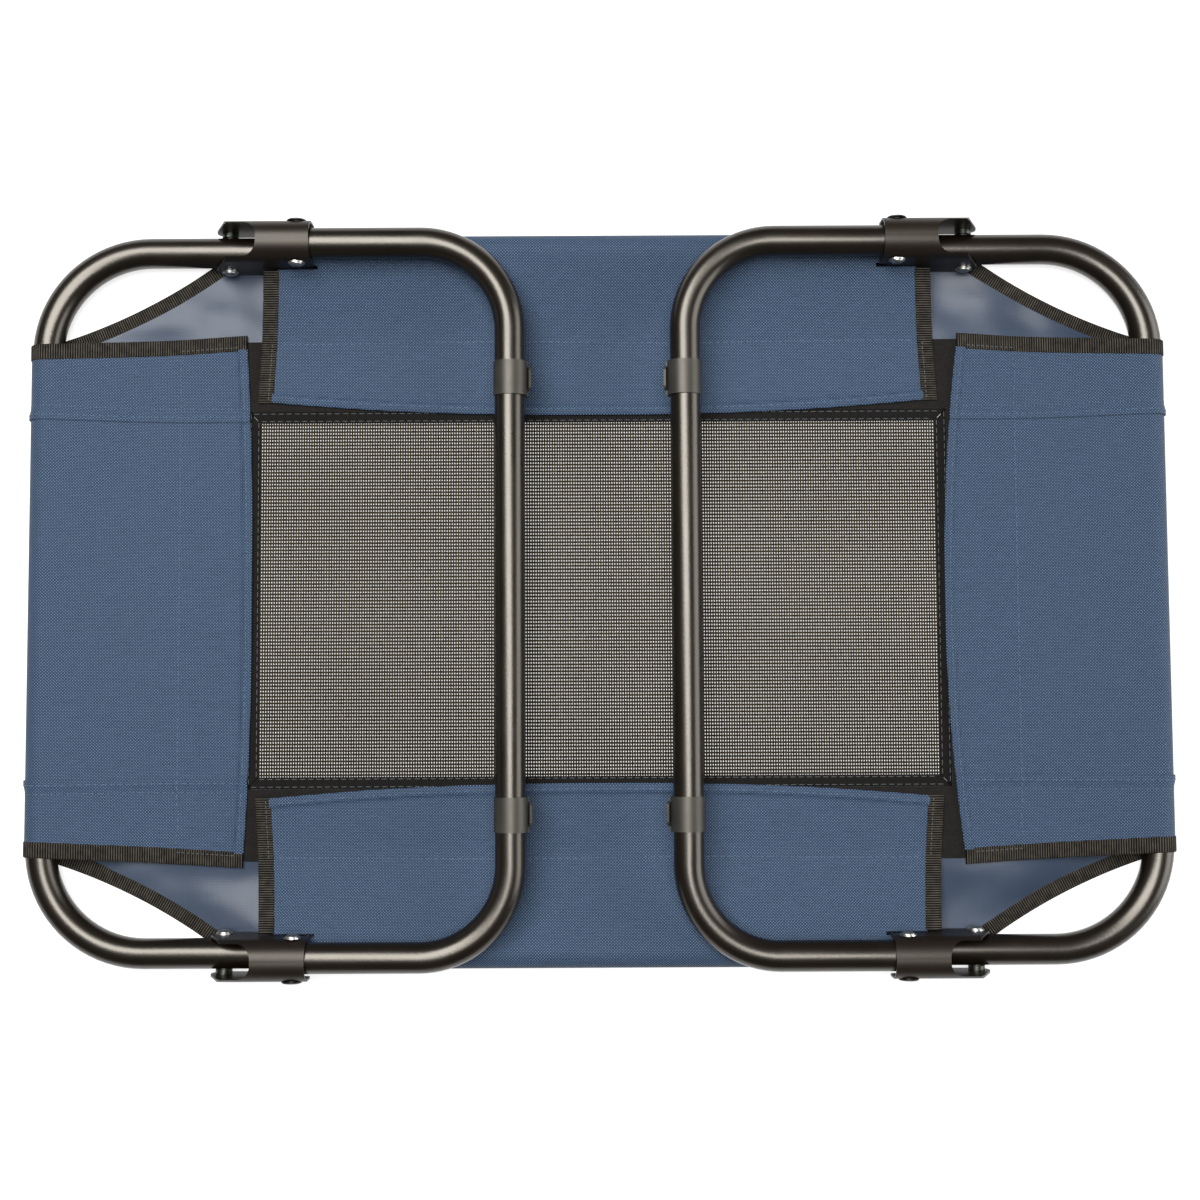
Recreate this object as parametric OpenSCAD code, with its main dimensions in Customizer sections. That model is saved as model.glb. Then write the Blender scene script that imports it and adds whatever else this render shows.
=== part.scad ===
// Folding cot: a raised bed with a steel tube frame, a laced-on cloth cover with
// a mesh window, and two U-shaped leg frames that fold flat on its underside.
// It lies face down with its legs folded: the sleeping face is at z = 0, the
// underside is up, X runs along the bed and the origin is under its middle.

/* [Frame] */
// Frame length between the axes of the end tubes
frame_l = 703; // [560:1:1000]
// Frame width between the axes of the side rails
frame_w = 445; // [360:1:600]
// Outside diameter of all tubes
tube_d = 19; // [16:0.5:24]
// Wall of all tubes
tube_wall = 1.2; // [1:0.1:2]
// Corner radius of the frame, at the tube's axis
frame_bend_r = 66; // [50:1:80]
// Length of the sleeve that joins the frame halves inside each rail
connector_l = 80; // [50:1:120]

/* [Legs] */
// Distance from an end tube's axis to the hinge pin
pivot_inset = 116; // [100:1:150]
// Distance along the bed from the hinge pin to the leg's cross tube
leg_reach = 180.5; // [150:0.5:220]
// Gap between the frame tube and the folded leg's tube above it
leg_gap = 3.5; // [3:0.5:8]
// Corner radius of the leg frames, at the tube's axis
leg_bend_r = 56; // [45:1:70]
// Angle at which the open leg meets its stop
open_angle = 110; // [100:1:115]

/* [Hinge brackets] */
// Thickness of the pressed steel
bracket_t = 1.5; // [1:0.1:2.5]
// Gap between a tube and the bracket's inner side and top
bracket_gap = 1; // [0.9:0.1:1.5]
// How much wider the gap is on the outer side
bracket_spare = 2; // [0:0.1:3]
// Distance along the leg from the hinge pin to the leg rivet
rivet_reach = 46.6; // [42:0.1:56]
// Bracket length past the leg rivet
saddle_past_rivet = 9.2; // [7:0.1:14]
// How far the ear's round end stays inside the frame tube's outline
lobe_inset = 1.2; // [0.9:0.1:2]
// How far past the hinge pin the ear's upper corner stands
ear_corner_x = 6; // [3:0.5:10]
// Gap left between the open leg's stop edge and the frame tube
stop_gap = 0.08; // [0.05:0.01:0.3]
// Width of the bent edge left along each ear beside the notch
notch_lip = 0.7; // [0.5:0.1:2]
// Corner radius of the notch
notch_corner_r = 9.3; // [2:0.1:9.5]
// How far the saddle's sides reach below the leg tube
saddle_skirt = 1; // [0:0.5:3]
// Distance from the leg rivet back to the turn in the lower edge
skirt_turn_x = 9; // [6:0.5:12]
// How far the lower edge drops from the saddle's end to that turn
skirt_turn_drop = 6; // [3:0.5:8]
// Distance from the stop edge back to the start of the ear's lower edge
ear_heel_x = 2; // [0:0.5:5]

/* [Rivets] */
// Diameter of the rivets' shanks
rivet_d = 6; // [5:0.5:8]
// Diameter of the outer rivet heads
rivet_head_d = 12.6; // [10:0.1:14]
// Height of the outer rivet heads
rivet_head_h = 0.8; // [0.6:0.1:3]
// Depth of the hollow in the outer rivet heads
rivet_dimple = 0.3; // [0.2:0.1:0.4]
// Diameter of the riveted inner ends
rivet_dome_d = 8.6; // [7:0.1:10]
// Height of the riveted inner ends
rivet_dome_h = 1.9; // [1:0.1:3]
// Diameter of the washers
washer_d = 10.4; // [9:0.1:12]
// Thickness of the washers
washer_t = 0.8; // [0.5:0.1:0.8]
// Gap all round a rivet's shank and between stacked faces
rivet_gap = 0.05; // [0.03:0.01:0.08]

/* [Feet] */
// Distance from the bed's middle line to a foot
foot_y = 135.5; // [100:0.5:150]
// Length of a foot's clip along the tube
foot_l = 21.5; // [16:0.5:30]
// Gap between the clip and the leg tube
clip_gap = 0.05; // [0.02:0.01:0.1]
// Mean wall of the clip
foot_wall = 1.2; // [0.8:0.1:2]
// How far the clip's outside is set off towards the pad
foot_offset = 0.5; // [0.2:0.1:1]
// Opening of the clip, as an angle
foot_mouth = 60; // [20:1:90]
// How far the opening is turned from opposite the pad
foot_mouth_turn = 35; // [0:1:45]
// Width of the pad, around the tube
pad_w = 14; // [10:0.5:18]
// Length of the pad, along the tube
pad_l = 15; // [12:0.5:34]
// Thickness of the pad
pad_t = 1.5; // [1:0.1:3]
// Height of the pad's face over the tube
pad_stand = 2.5; // [2:0.5:8]
// Corner radius of the pad
pad_corner_r = 3; // [1:0.5:4]
// Width of the neck between clip and pad
neck_w = 7; // [4:0.5:10]

/* [Cover] */
// Thickness of the cloth and of the mesh
cloth_t = 0.5; // [0.3:0.1:0.6]
// Gap between the cloth and the tubes it wraps
wrap_gap = 0.1; // [0.05:0.05:0.2]
// Distance from the end tubes' axes to the mesh window
window_end_inset = 134.5; // [125:0.5:180]
// Distance from the side rails' axes to the mesh window
window_side_inset = 109; // [100:0.5:140]
// Width of the tape sewn round the window
border_w = 7.5; // [4:0.5:10]
// Thickness of the tape sewn round the window
border_t = 1; // [0.6:0.1:1.5]
// Distance from the side rails' axes to the lapped seams
seam_inset = 108.5; // [104:0.5:130]
// Distance from the hinge pin back to the side tongue's end
tongue_inset = 23.5; // [15:0.5:60]
// How much longer each side tongue is at its inner hem
tongue_flare = 14; // [0:1:30]
// Side tongue, from the rail's axis to its inner hem
side_flap = 103; // [80:1:110]
// End tongue, from the end tube's axis to its inner hem
end_flap = 127.5; // [110:0.5:140]
// Distance from the side rails' axes to the end tongues' edges
end_tongue_inset = 60.5; // [58:0.5:90]
// How much wider each end tongue is at its inner hem
end_flare = 17; // [0:1:30]
// Radius of the hollow-cut corners
corner_cut_r = 360; // [250:1:900]
// Where the hollow cut starts, beyond the end tongue's edge
cut_past_tongue = 3.5; // [1:0.5:8]
// Where the hollow cut ends on the rail, past the hinge pin
cut_past_pin = 4; // [0:0.5:8]

/* [Tapes] */
// Width of the stitched field that holds each hook tape
hook_w = 48; // [30:1:50]
// Distance from the field's edges to the tape's edges
tape_inset = 1; // [0.5:0.5:3]
// Thickness of the loop tape on the cover
loop_t = 1; // [0.6:0.1:1.2]
// Thickness of the hook tape under the tongues
hook_t = 0.8; // [0.5:0.1:1]
// Width of the edge binding
binding_w = 10; // [6:0.5:14]
// Thickness of the edge binding
binding_t = 1; // [0.8:0.1:1.1]

/* [Hidden] */

$fn = 72;
wrap_step = 10;                                 // facet of the cloth round a tube, in degrees
big = 2000;                                     // longer than the whole cot
left = -1;                                      // sides of the cot, as signs
right = 1;
front = -1;
back = 1;

tube_r = tube_d / 2;
wrap_r = tube_r + wrap_gap;                     // inside of the wrapped cloth
axis_z = wrap_r + cloth_t;                      // frame axis over the sleeping face
leg_rise = tube_d + leg_gap;                    // folded leg's axis over the frame's
end_x = frame_l / 2;
rail_y = frame_w / 2;
pivot_x = end_x - pivot_inset;

ear_in = tube_r + bracket_gap;                  // bracket side, inner and outer face
ear_out = ear_in + bracket_t;
outer_side = ear_out + bracket_spare;           // outer face of the bracket's outer side
lobe_r = tube_r - lobe_inset;
notch_half = ear_in - notch_lip;
saddle_end = rivet_reach + saddle_past_rivet;
crown_z = leg_rise + ear_out;                   // bracket's highest line over the pin
// The stop edge comes down onto the frame tube at the open angle
stop_reach = (tube_r + stop_gap - crown_z * cos(open_angle)) / sin(open_angle);
stop_x = ceil(stop_reach * 100) / 100;
leg_tube_start = stop_x + 0.5;                  // the leg tube ends just inside the bracket

mesh_l = frame_l - 2 * window_end_inset;
mesh_w = frame_w - 2 * window_side_inset;
seam_y = rail_y - seam_inset;
end_tongue_w = frame_w - 2 * end_tongue_inset;
sheet_in_x = mesh_l / 2 + border_w;             // where the cloth meets the window's tape
sheet_in_y = mesh_w / 2 + border_w;
flat_z = cloth_t + loop_t + hook_t;             // underside of a tongue on its tapes
flat_drop = axis_z - flat_z;
tongue_l = 2 * (pivot_x - tongue_inset);
side_flat_u = side_flap - hook_w;               // where a tongue lies down on its tape
end_flat_u = end_flap - hook_w;
slit_in = ear_in - 0.35;                        // slit in a side tongue for the ear
slit_out = ear_out + 0.35;
slit_past = 6;                                  // slit length past the bracket's end

// The hollow cut runs from the end tongue's edge to the rail near the pin
cut_a = [end_x, end_tongue_w / 2 + cut_past_tongue];
cut_b = [pivot_x + cut_past_pin, rail_y];
cut_len = norm(cut_a - cut_b);
cut_dir = (cut_a - cut_b) / cut_len;
cut_centre = (cut_a + cut_b) / 2
    + [-cut_dir[1], cut_dir[0]] * sqrt(corner_cut_r * corner_cut_r - cut_len * cut_len / 4);

// Turns a part drawn for the right and back of the cot to the given sides
module facing(side_x, side_y) {
    mirror([side_x < 0 ? 1 : 0, 0, 0]) mirror([0, side_y < 0 ? 1 : 0, 0]) children();
}

// ---- tubes ----

module rod(diameter, from, to) {
    // A round bar between two points that share two coordinates
    step = to - from;
    length = norm(step);
    translate(from)
        rotate(step[0] != 0 ? [0, 90 * sign(step[0]), 0]
             : step[1] != 0 ? [-90 * sign(step[1]), 0, 0] : [0, 0, 0])
            cylinder(d = diameter, h = length);
}

// A U of round bar: two arms from start_x to a cross bar at cross_x
module u_bar(diameter, start_x, cross_x, half_w, bend_r) {
    bend_x = cross_x - bend_r;
    for (side = [front, back]) facing(right, side) {
        rod(diameter, [start_x, half_w, 0], [bend_x, half_w, 0]);
        translate([bend_x, half_w - bend_r, 0])
            rotate_extrude(angle = 90) translate([bend_r, 0]) circle(d = diameter);
    }
    rod(diameter, [cross_x, -(half_w - bend_r), 0], [cross_x, half_w - bend_r, 0]);
}

module u_tube(start_x, cross_x, half_w, bend_r) {
    difference() {
        u_bar(tube_d, start_x, cross_x, half_w, bend_r);
        u_bar(tube_d - 2 * tube_wall, start_x - 1, cross_x, half_w, bend_r);
    }
}

// A hole through both arms of a U, across the bed
module cross_hole(x, z) {
    translate([x, -big / 2, z]) rotate([-90, 0, 0])
        cylinder(d = rivet_d + 2 * rivet_gap, h = big);
}

module frame_tube(side_x) {
    color([0.12, 0.11, 0.1]) facing(side_x, back) difference() {
        translate([0, 0, axis_z]) u_tube(0, end_x, rail_y, frame_bend_r);
        cross_hole(pivot_x, axis_z);
    }
}

module rail_connector(side_y) {
    sleeve_d = tube_d - 2 * tube_wall - 2 * rivet_gap;
    color([0.55, 0.55, 0.55]) difference() {
        rod(sleeve_d, [-connector_l / 2, side_y * rail_y, axis_z],
            [connector_l / 2, side_y * rail_y, axis_z]);
        rod(sleeve_d - 2 * tube_wall, [-connector_l / 2 - 1, side_y * rail_y, axis_z],
            [connector_l / 2 + 1, side_y * rail_y, axis_z]);
    }
}

// ---- legs: drawn with the pin at the origin and the leg lying along +X ----

// Puts a leg part in place; the left leg reaches towards +X, the right one mirrors it
module at_leg(side_x) {
    facing(-side_x, back) translate([-pivot_x, 0, axis_z]) children();
}

module leg_tube(side_x) {
    color([0.12, 0.11, 0.1]) at_leg(side_x) difference() {
        translate([0, 0, leg_rise]) u_tube(leg_tube_start, leg_reach, rail_y, leg_bend_r);
        cross_hole(rivet_reach, leg_rise);
    }
}

// Block with the bracket's side view, from the ear round the pin to the saddle's end
module bracket_block() {
    corner = [ear_corner_x, crown_z + 1];
    skirt_z = leg_rise - tube_r - saddle_skirt;
    inner_r = lobe_r - 0.02;
    tangent = atan2(corner[1], corner[0]) + acos(inner_r / norm(corner));
    rotate([90, 0, 0]) {
        cylinder(r = lobe_r, h = 4 * ear_out, center = true);
        linear_extrude(4 * ear_out, center = true) polygon([
            inner_r * [cos(tangent), sin(tangent)],
            corner,
            [saddle_end, crown_z + 1],
            [saddle_end, skirt_z],
            [rivet_reach - skirt_turn_x, skirt_z - skirt_turn_drop],
            [stop_x - ear_heel_x, -inner_r],
            [0, -inner_r]
        ]);
    }
}

// Section of the space under a round-topped channel of the given half-width
module channel_core(half_w, depth) {
    translate([-half_w, -depth]) square([2 * half_w + bracket_spare, leg_rise + depth]);
    for (shift = [0, bracket_spare]) translate([shift, leg_rise]) circle(r = half_w);
    translate([0, leg_rise - 1]) square([bracket_spare, half_w + 1]);
}

// Cross-section of the channel, with its outer side towards +X
module channel_section() {
    difference() {
        channel_core(ear_out, lobe_r + 1);
        channel_core(ear_in, lobe_r + 2);
    }
}

// Plan of the notch that lets the frame tube in when the leg opens
module notch_plan() {
    start = -2 * lobe_r;
    middle = bracket_spare / 2;
    half = notch_half + middle;
    translate([0, middle]) difference() {
        translate([start, -half]) square([stop_x - start, 2 * half]);
        for (side = [front, back]) facing(right, side) difference() {
            translate([stop_x - notch_corner_r, half - notch_corner_r])
                square(notch_corner_r + 1);
            translate([stop_x - notch_corner_r, half - notch_corner_r])
                circle(r = notch_corner_r);
        }
    }
}

module hinge_bracket(side_x, side_y) {
    color([0.16, 0.15, 0.14]) at_leg(side_x) facing(right, side_y)
        translate([0, rail_y, 0]) difference() {
            intersection() {
                bracket_block();
                translate([-2 * lobe_r, 0, 0]) rotate([90, 0, 90])
                    linear_extrude(2 * lobe_r + saddle_end + 1) channel_section();
            }
            linear_extrude(2 * crown_z) notch_plan();
            cross_hole(0, 0);
            cross_hole(rivet_reach, leg_rise);
        }
}

// A rivet along Y through the origin: flat head outside, dome inside, seen from +Y
module rivet() {
    outer_face = outer_side + rivet_gap;
    inner_face = ear_out + 2 * rivet_gap + washer_t;
    outer_top = outer_face + rivet_head_h;
    chamfer = rivet_head_h / 3;
    rotate([-90, 0, 0]) rotate_extrude() polygon([
        [0, outer_top - rivet_dimple],
        [rivet_d / 3, outer_top - rivet_dimple],
        [rivet_d / 2, outer_top],
        [rivet_head_d / 2 - 2 * chamfer, outer_top],
        [rivet_head_d / 2, outer_face + chamfer],
        [rivet_head_d / 2, outer_face],
        [rivet_d / 2, outer_face],
        [rivet_d / 2, -inner_face],
        [rivet_dome_d / 2, -inner_face],
        for (step = [1 : 5])
            [rivet_dome_d / 2 * cos(step * 15), -inner_face - rivet_dome_h * sin(step * 15)],
        [0, -inner_face - rivet_dome_h]
    ]);
}

module washer(y, thick = washer_t) {
    translate([0, y, 0]) rotate([-90, 0, 0]) difference() {
        cylinder(d = washer_d, h = thick);
        translate([0, 0, -1]) cylinder(d = rivet_d + 2 * rivet_gap, h = thick + 2);
    }
}

// The washer under a rivet's inner end
module end_washer() {
    washer(-ear_out - rivet_gap - washer_t);
}

module pivot_rivet(side_x, side_y) {
    color([0.7, 0.7, 0.68]) at_leg(side_x) facing(right, side_y)
        translate([0, rail_y, 0]) rivet();
}

module pivot_washers() {
    // One washer under each rivet's end, one inside the frame tube and a spacer outside it
    play = (bracket_gap - washer_t) / 2;
    between = tube_r + play;
    color([0.75, 0.75, 0.72]) for (side_x = [left, right], side_y = [front, back])
        at_leg(side_x) facing(right, side_y) translate([0, rail_y, 0]) {
            end_washer();
            washer(between, washer_t + bracket_spare);
            washer(-between - washer_t);
        }
}

module leg_rivet(side_x, side_y) {
    color([0.2, 0.19, 0.18]) at_leg(side_x) facing(right, side_y)
        translate([rivet_reach, rail_y, leg_rise]) rivet();
}

module leg_washers(side_x) {
    color([0.75, 0.75, 0.72]) for (side_y = [front, back])
        at_leg(side_x) facing(right, side_y) translate([rivet_reach, rail_y, leg_rise])
            end_washer();
}

// ---- feet: clip drawn with the tube along Y and the pad on the +X side ----

module rounded_plate(w, l, t, r) {
    linear_extrude(t) {
        square([w - 2 * r, l], center = true);
        square([w, l - 2 * r], center = true);
        for (x = [-1, 1], y = [-1, 1])
            translate([x * (w / 2 - r), y * (l / 2 - r)]) circle(r = r);
    }
}

module foot_clip_shape() {
    bore_r = tube_r + clip_gap;
    pad_reach = tube_r + pad_stand;
    mouth = 3 * tube_r;
    difference() {
        union() {
            rotate([90, 0, 0]) linear_extrude(foot_l, center = true)
                translate([foot_offset, 0]) circle(r = bore_r + foot_wall);
            translate([0, -foot_l / 2, -neck_w / 2])
                cube([pad_reach - pad_t / 2, foot_l, neck_w]);
            translate([pad_reach - pad_t, 0, 0]) rotate([0, 90, 0])
                rounded_plate(pad_w, pad_l, pad_t, pad_corner_r);
        }
        rotate([90, 0, 0]) cylinder(r = bore_r, h = 2 * foot_l, center = true);
        rotate([90, -foot_mouth_turn, 0]) linear_extrude(2 * foot_l, center = true) polygon([
            [0, 0],
            [-mouth, mouth * tan(foot_mouth / 2)],
            [-mouth, -mouth * tan(foot_mouth / 2)]
        ]);
    }
}

// The pad leans so that it faces the floor when the leg is open
module foot_clip(side_x, side_y) {
    color([0.28, 0.28, 0.27]) at_leg(side_x)
        translate([leg_reach, side_y * foot_y, leg_rise])
            rotate([0, open_angle - 90, 0]) foot_clip_shape();
}

// ---- cover ----

// Slope of a tongue that leaves the tube and lies down at flat_u
function slope(flat_u) =
    asin(wrap_r / norm([flat_u, flat_drop])) + atan2(flat_drop, flat_u);

// Turns round the tube from its bottom, over its outside and top, to the slope
function turns(flat_u) =
    [for (turn = [0 : wrap_step : 180]) turn, for (part = [1 : 3]) 180 + slope(flat_u) * part / 3];

// Section of cloth that turns round a tube and lies back on the cover. The tube's
// axis is at the origin, u runs inwards over the bed and the second axis is up.
module wrap_section(flat_u, flap_u, thick) {
    mitre = thick * tan(slope(flat_u) / 2);
    around = turns(flat_u);
    last = len(around) - 1;
    polygon(concat(
        [for (turn = around) -(wrap_r + thick) * [sin(turn), cos(turn)]],
        [[flat_u + mitre, thick - flat_drop], [flap_u, thick - flat_drop]],
        [[flap_u, -flat_drop], [flat_u, -flat_drop]],
        [for (i = [last : -1 : 0]) -wrap_r * [sin(around[i]), cos(around[i])]]
    ));
}

// The tongue at one side of the bed, before it is cut to its plan shape
module side_wrap(side_y, thick) {
    facing(right, side_y) translate([-end_x, rail_y, axis_z])
        rotate([90, 0, 90]) linear_extrude(2 * end_x) mirror([1, 0])
            wrap_section(side_flat_u, side_flap, thick);
}

// The tongue at one end of the bed, before it is cut to its plan shape
module end_wrap(side_x, thick) {
    facing(side_x, back) translate([end_x, rail_y, axis_z])
        rotate([90, 0, 0]) linear_extrude(2 * rail_y) mirror([1, 0])
            wrap_section(end_flat_u, end_flap, thick);
}

// Raises a plan shape through everything, from a given height upwards
module tall(from_z = -1) {
    translate([0, 0, from_z]) linear_extrude(4 * tube_d) children();
}

// Plan of one side tongue; inset takes the binding off its ends
module side_tongue_plan(side_y, inset) {
    half = tongue_l / 2 - inset;
    flared = half + tongue_flare / 2;
    out = rail_y + tube_d;
    hem = rail_y - side_flap - 1;
    facing(right, side_y) polygon([[-half, out], [half, out], [half, rail_y],
        [flared, hem], [-flared, hem], [-half, rail_y]]);
}

// Plan of one end tongue; inset takes the binding off its edges
module end_tongue_plan(side_x, inset) {
    half = end_tongue_w / 2 - inset;
    flared = half + end_flare / 2;
    out = end_x + tube_d;
    hem = end_x - end_flap - 1;
    facing(side_x, back) polygon([[out, -half], [out, half], [end_x, half],
        [hem, flared], [hem, -flared], [end_x, -half]]);
}

// The hollow cut corner, and the band of binding inside it
module corner_cut(grow) {
    translate(cut_centre) circle(r = corner_cut_r + grow, $fn = 360);
}

// Slits in a side tongue where the brackets' inner ears reach down
module ear_slits() {
    start = pivot_x - saddle_end - slit_past;
    for (side_x = [left, right], side_y = [front, back]) facing(side_x, side_y)
        translate([start, rail_y - slit_out, cloth_t + 1])
            cube([end_x - start, slit_out - slit_in, 2 * tube_d]);
}

module side_strip(side_y) {
    color([0.27, 0.35, 0.47]) {
        // Face, from the window and the lapped seams out to the rail
        facing(right, side_y) linear_extrude(cloth_t) difference() {
            union() {
                translate([-sheet_in_x, sheet_in_y])
                    square([2 * sheet_in_x, rail_y - sheet_in_y]);
                for (side_x = [left, right]) facing(side_x, back)
                    translate([sheet_in_x, seam_y])
                        square([end_x - sheet_in_x, rail_y - seam_y]);
            }
            for (side_x = [left, right]) facing(side_x, back) corner_cut(binding_w);
        }
        difference() {
            intersection() {
                side_wrap(side_y, cloth_t);
                tall() side_tongue_plan(side_y, 0);
            }
            ear_slits();
            side_bindings_cut();
        }
        // Outer parts of the end tongues, beyond the lapped seams
        for (side_x = [left, right]) intersection() {
            end_wrap(side_x, cloth_t);
            tall() end_tongue_plan(side_x, binding_w);
            facing(right, side_y) translate([-big / 2, seam_y, -1]) cube([big, big, 4 * tube_d]);
        }
    }
}

module end_panel(side_x) {
    color([0.29, 0.37, 0.49]) {
        facing(side_x, back) translate([sheet_in_x, -seam_y, 0])
            cube([end_x - sheet_in_x, 2 * seam_y, cloth_t]);
        intersection() {
            end_wrap(side_x, cloth_t);
            translate([-big / 2, -seam_y, -1]) cube([big, 2 * seam_y, 4 * tube_d]);
        }
    }
}

module mesh_panel() {
    color([0.42, 0.41, 0.38]) translate([-mesh_l / 2, -mesh_w / 2, 0])
        cube([mesh_l, mesh_w, cloth_t]);
}

module mesh_border() {
    color([0.1, 0.1, 0.11]) difference() {
        translate([-sheet_in_x, -sheet_in_y, 0])
            cube([2 * sheet_in_x, 2 * sheet_in_y, border_t]);
        translate([-mesh_l / 2, -mesh_w / 2, -1]) cube([mesh_l, mesh_w, border_t + 2]);
    }
}

// Tapes on the cover under the side tongues
module side_tape(side_y, z, thick, half_l) {
    facing(right, side_y) translate([-half_l, rail_y - side_flap + tape_inset, z])
        cube([2 * half_l, hook_w - 2 * tape_inset, thick]);
}

// Tapes on the cover under the end tongues
module end_tape(side_x, z, thick) {
    half_w = end_tongue_w / 2;
    facing(side_x, back) translate([end_x - end_flap + tape_inset, -half_w, z])
        cube([hook_w - 2 * tape_inset, 2 * half_w, thick]);
}

module loop_tape_side(side_y) {
    color([0.09, 0.09, 0.1]) difference() {
        side_tape(side_y, cloth_t, loop_t, sheet_in_x);
        translate([-sheet_in_x, -sheet_in_y, 0])
            cube([2 * sheet_in_x, 2 * sheet_in_y, border_t]);
    }
}

module loop_tape_end(side_x) {
    color([0.09, 0.09, 0.1]) end_tape(side_x, cloth_t, loop_t);
}

module hook_tape_side(side_y) {
    color([0.07, 0.07, 0.08])
        side_tape(side_y, cloth_t + loop_t, hook_t, tongue_l / 2 - binding_w);
}

module hook_tape_end(side_x) {
    color([0.07, 0.07, 0.08]) end_tape(side_x, cloth_t + loop_t, hook_t);
}

// The binding is pressed flat where it passes under the tubes
module corner_binding(side_x, side_y) {
    color([0.08, 0.08, 0.09]) facing(side_x, side_y) difference() {
        linear_extrude(binding_t) intersection() {
            difference() {
                corner_cut(binding_w);
                corner_cut(0);
            }
            square([end_x, rail_y]);
        }
        rod(2 * wrap_r, [0, rail_y, axis_z], [end_x, rail_y, axis_z]);
        rod(2 * wrap_r, [end_x, 0, axis_z], [end_x, rail_y, axis_z]);
    }
}

module end_binding(side_x, side_y) {
    color([0.08, 0.08, 0.09]) intersection() {
        end_wrap(side_x, binding_t);
        tall(0) difference() {
            end_tongue_plan(side_x, 0);
            end_tongue_plan(side_x, binding_w);
        }
        facing(right, side_y) translate([-big / 2, 0, -1]) cube([big, big, 4 * tube_d]);
    }
}

// The bound ends of the side tongues, inwards of the brackets
module side_binding_plan(side_x, side_y) {
    intersection() {
        difference() {
            side_tongue_plan(side_y, 0);
            side_tongue_plan(side_y, binding_w);
        }
        facing(side_x, side_y) square([end_x, rail_y - slit_out]);
    }
}

module side_bindings_cut() {
    for (side_x = [left, right], side_y = [front, back])
        tall() side_binding_plan(side_x, side_y);
}

module side_binding(side_x, side_y) {
    color([0.08, 0.08, 0.09]) intersection() {
        side_wrap(side_y, binding_t);
        tall() side_binding_plan(side_x, side_y);
    }
}

frame_tube(left);  // frame_tube_left
frame_tube(right);  // frame_tube_right
rail_connector(front);  // rail_connector_front
rail_connector(back);  // rail_connector_back
pivot_rivet(left, front);  // pivot_rivet_left_front
pivot_rivet(left, back);  // pivot_rivet_left_back
pivot_rivet(right, front);  // pivot_rivet_right_front
pivot_rivet(right, back);  // pivot_rivet_right_back
pivot_washers();
side_strip(front);  // side_strip_front
side_strip(back);  // side_strip_back
end_panel(left);  // end_panel_left
end_panel(right);  // end_panel_right
mesh_panel();
mesh_border();
loop_tape_side(front);  // loop_tape_front
loop_tape_side(back);  // loop_tape_back
loop_tape_end(left);  // loop_tape_left
loop_tape_end(right);  // loop_tape_right
hook_tape_side(front);  // hook_tape_front
hook_tape_side(back);  // hook_tape_back
hook_tape_end(left);  // hook_tape_left
hook_tape_end(right);  // hook_tape_right
corner_binding(left, front);  // corner_binding_left_front
corner_binding(left, back);  // corner_binding_left_back
corner_binding(right, front);  // corner_binding_right_front
corner_binding(right, back);  // corner_binding_right_back
end_binding(left, front);  // end_binding_left_front
end_binding(left, back);  // end_binding_left_back
end_binding(right, front);  // end_binding_right_front
end_binding(right, back);  // end_binding_right_back
side_binding(left, front);  // side_binding_left_front
side_binding(left, back);  // side_binding_left_back
side_binding(right, front);  // side_binding_right_front
side_binding(right, back);  // side_binding_right_back
leg_tube(left);  // leg_tube_left
leg_tube(right);  // leg_tube_right
hinge_bracket(left, front);  // hinge_bracket_left_front
hinge_bracket(left, back);  // hinge_bracket_left_back
hinge_bracket(right, front);  // hinge_bracket_right_front
hinge_bracket(right, back);  // hinge_bracket_right_back
leg_rivet(left, front);  // leg_rivet_left_front
leg_rivet(left, back);  // leg_rivet_left_back
leg_rivet(right, front);  // leg_rivet_right_front
leg_rivet(right, back);  // leg_rivet_right_back
leg_washers(left);  // leg_washers_left
leg_washers(right);  // leg_washers_right
foot_clip(left, front);  // foot_clip_left_front
foot_clip(left, back);  // foot_clip_left_back
foot_clip(right, front);  // foot_clip_right_front
foot_clip(right, back);  // foot_clip_right_back
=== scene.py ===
"""Folding cot lying face down with its legs folded flat, on a pale studio floor."""
import math
from functools import partial

import bmesh
import bpy
import numpy as np
from mathutils import Matrix, Vector


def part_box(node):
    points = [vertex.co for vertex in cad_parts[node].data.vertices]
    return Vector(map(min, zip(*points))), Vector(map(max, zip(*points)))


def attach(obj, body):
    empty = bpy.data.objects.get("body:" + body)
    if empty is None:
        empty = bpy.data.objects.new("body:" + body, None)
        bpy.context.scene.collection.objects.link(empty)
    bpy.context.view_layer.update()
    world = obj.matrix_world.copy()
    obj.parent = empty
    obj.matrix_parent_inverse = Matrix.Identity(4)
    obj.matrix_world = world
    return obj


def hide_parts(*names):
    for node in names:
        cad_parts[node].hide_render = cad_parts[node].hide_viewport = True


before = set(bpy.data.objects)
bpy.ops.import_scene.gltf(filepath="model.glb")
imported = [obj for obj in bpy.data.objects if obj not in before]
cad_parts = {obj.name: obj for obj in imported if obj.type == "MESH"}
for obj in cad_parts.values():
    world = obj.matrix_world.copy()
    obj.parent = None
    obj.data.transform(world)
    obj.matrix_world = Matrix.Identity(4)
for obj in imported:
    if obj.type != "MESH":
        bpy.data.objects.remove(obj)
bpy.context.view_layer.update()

MM = 0.001
LEFT, RIGHT, FRONT, BACK = -1, 1, -1, 1
X_NAMES = {LEFT: "left", RIGHT: "right"}
Y_NAMES = {FRONT: "front", BACK: "back"}
CORNERS = [(x, y) for x in (LEFT, RIGHT) for y in (FRONT, BACK)]

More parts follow.
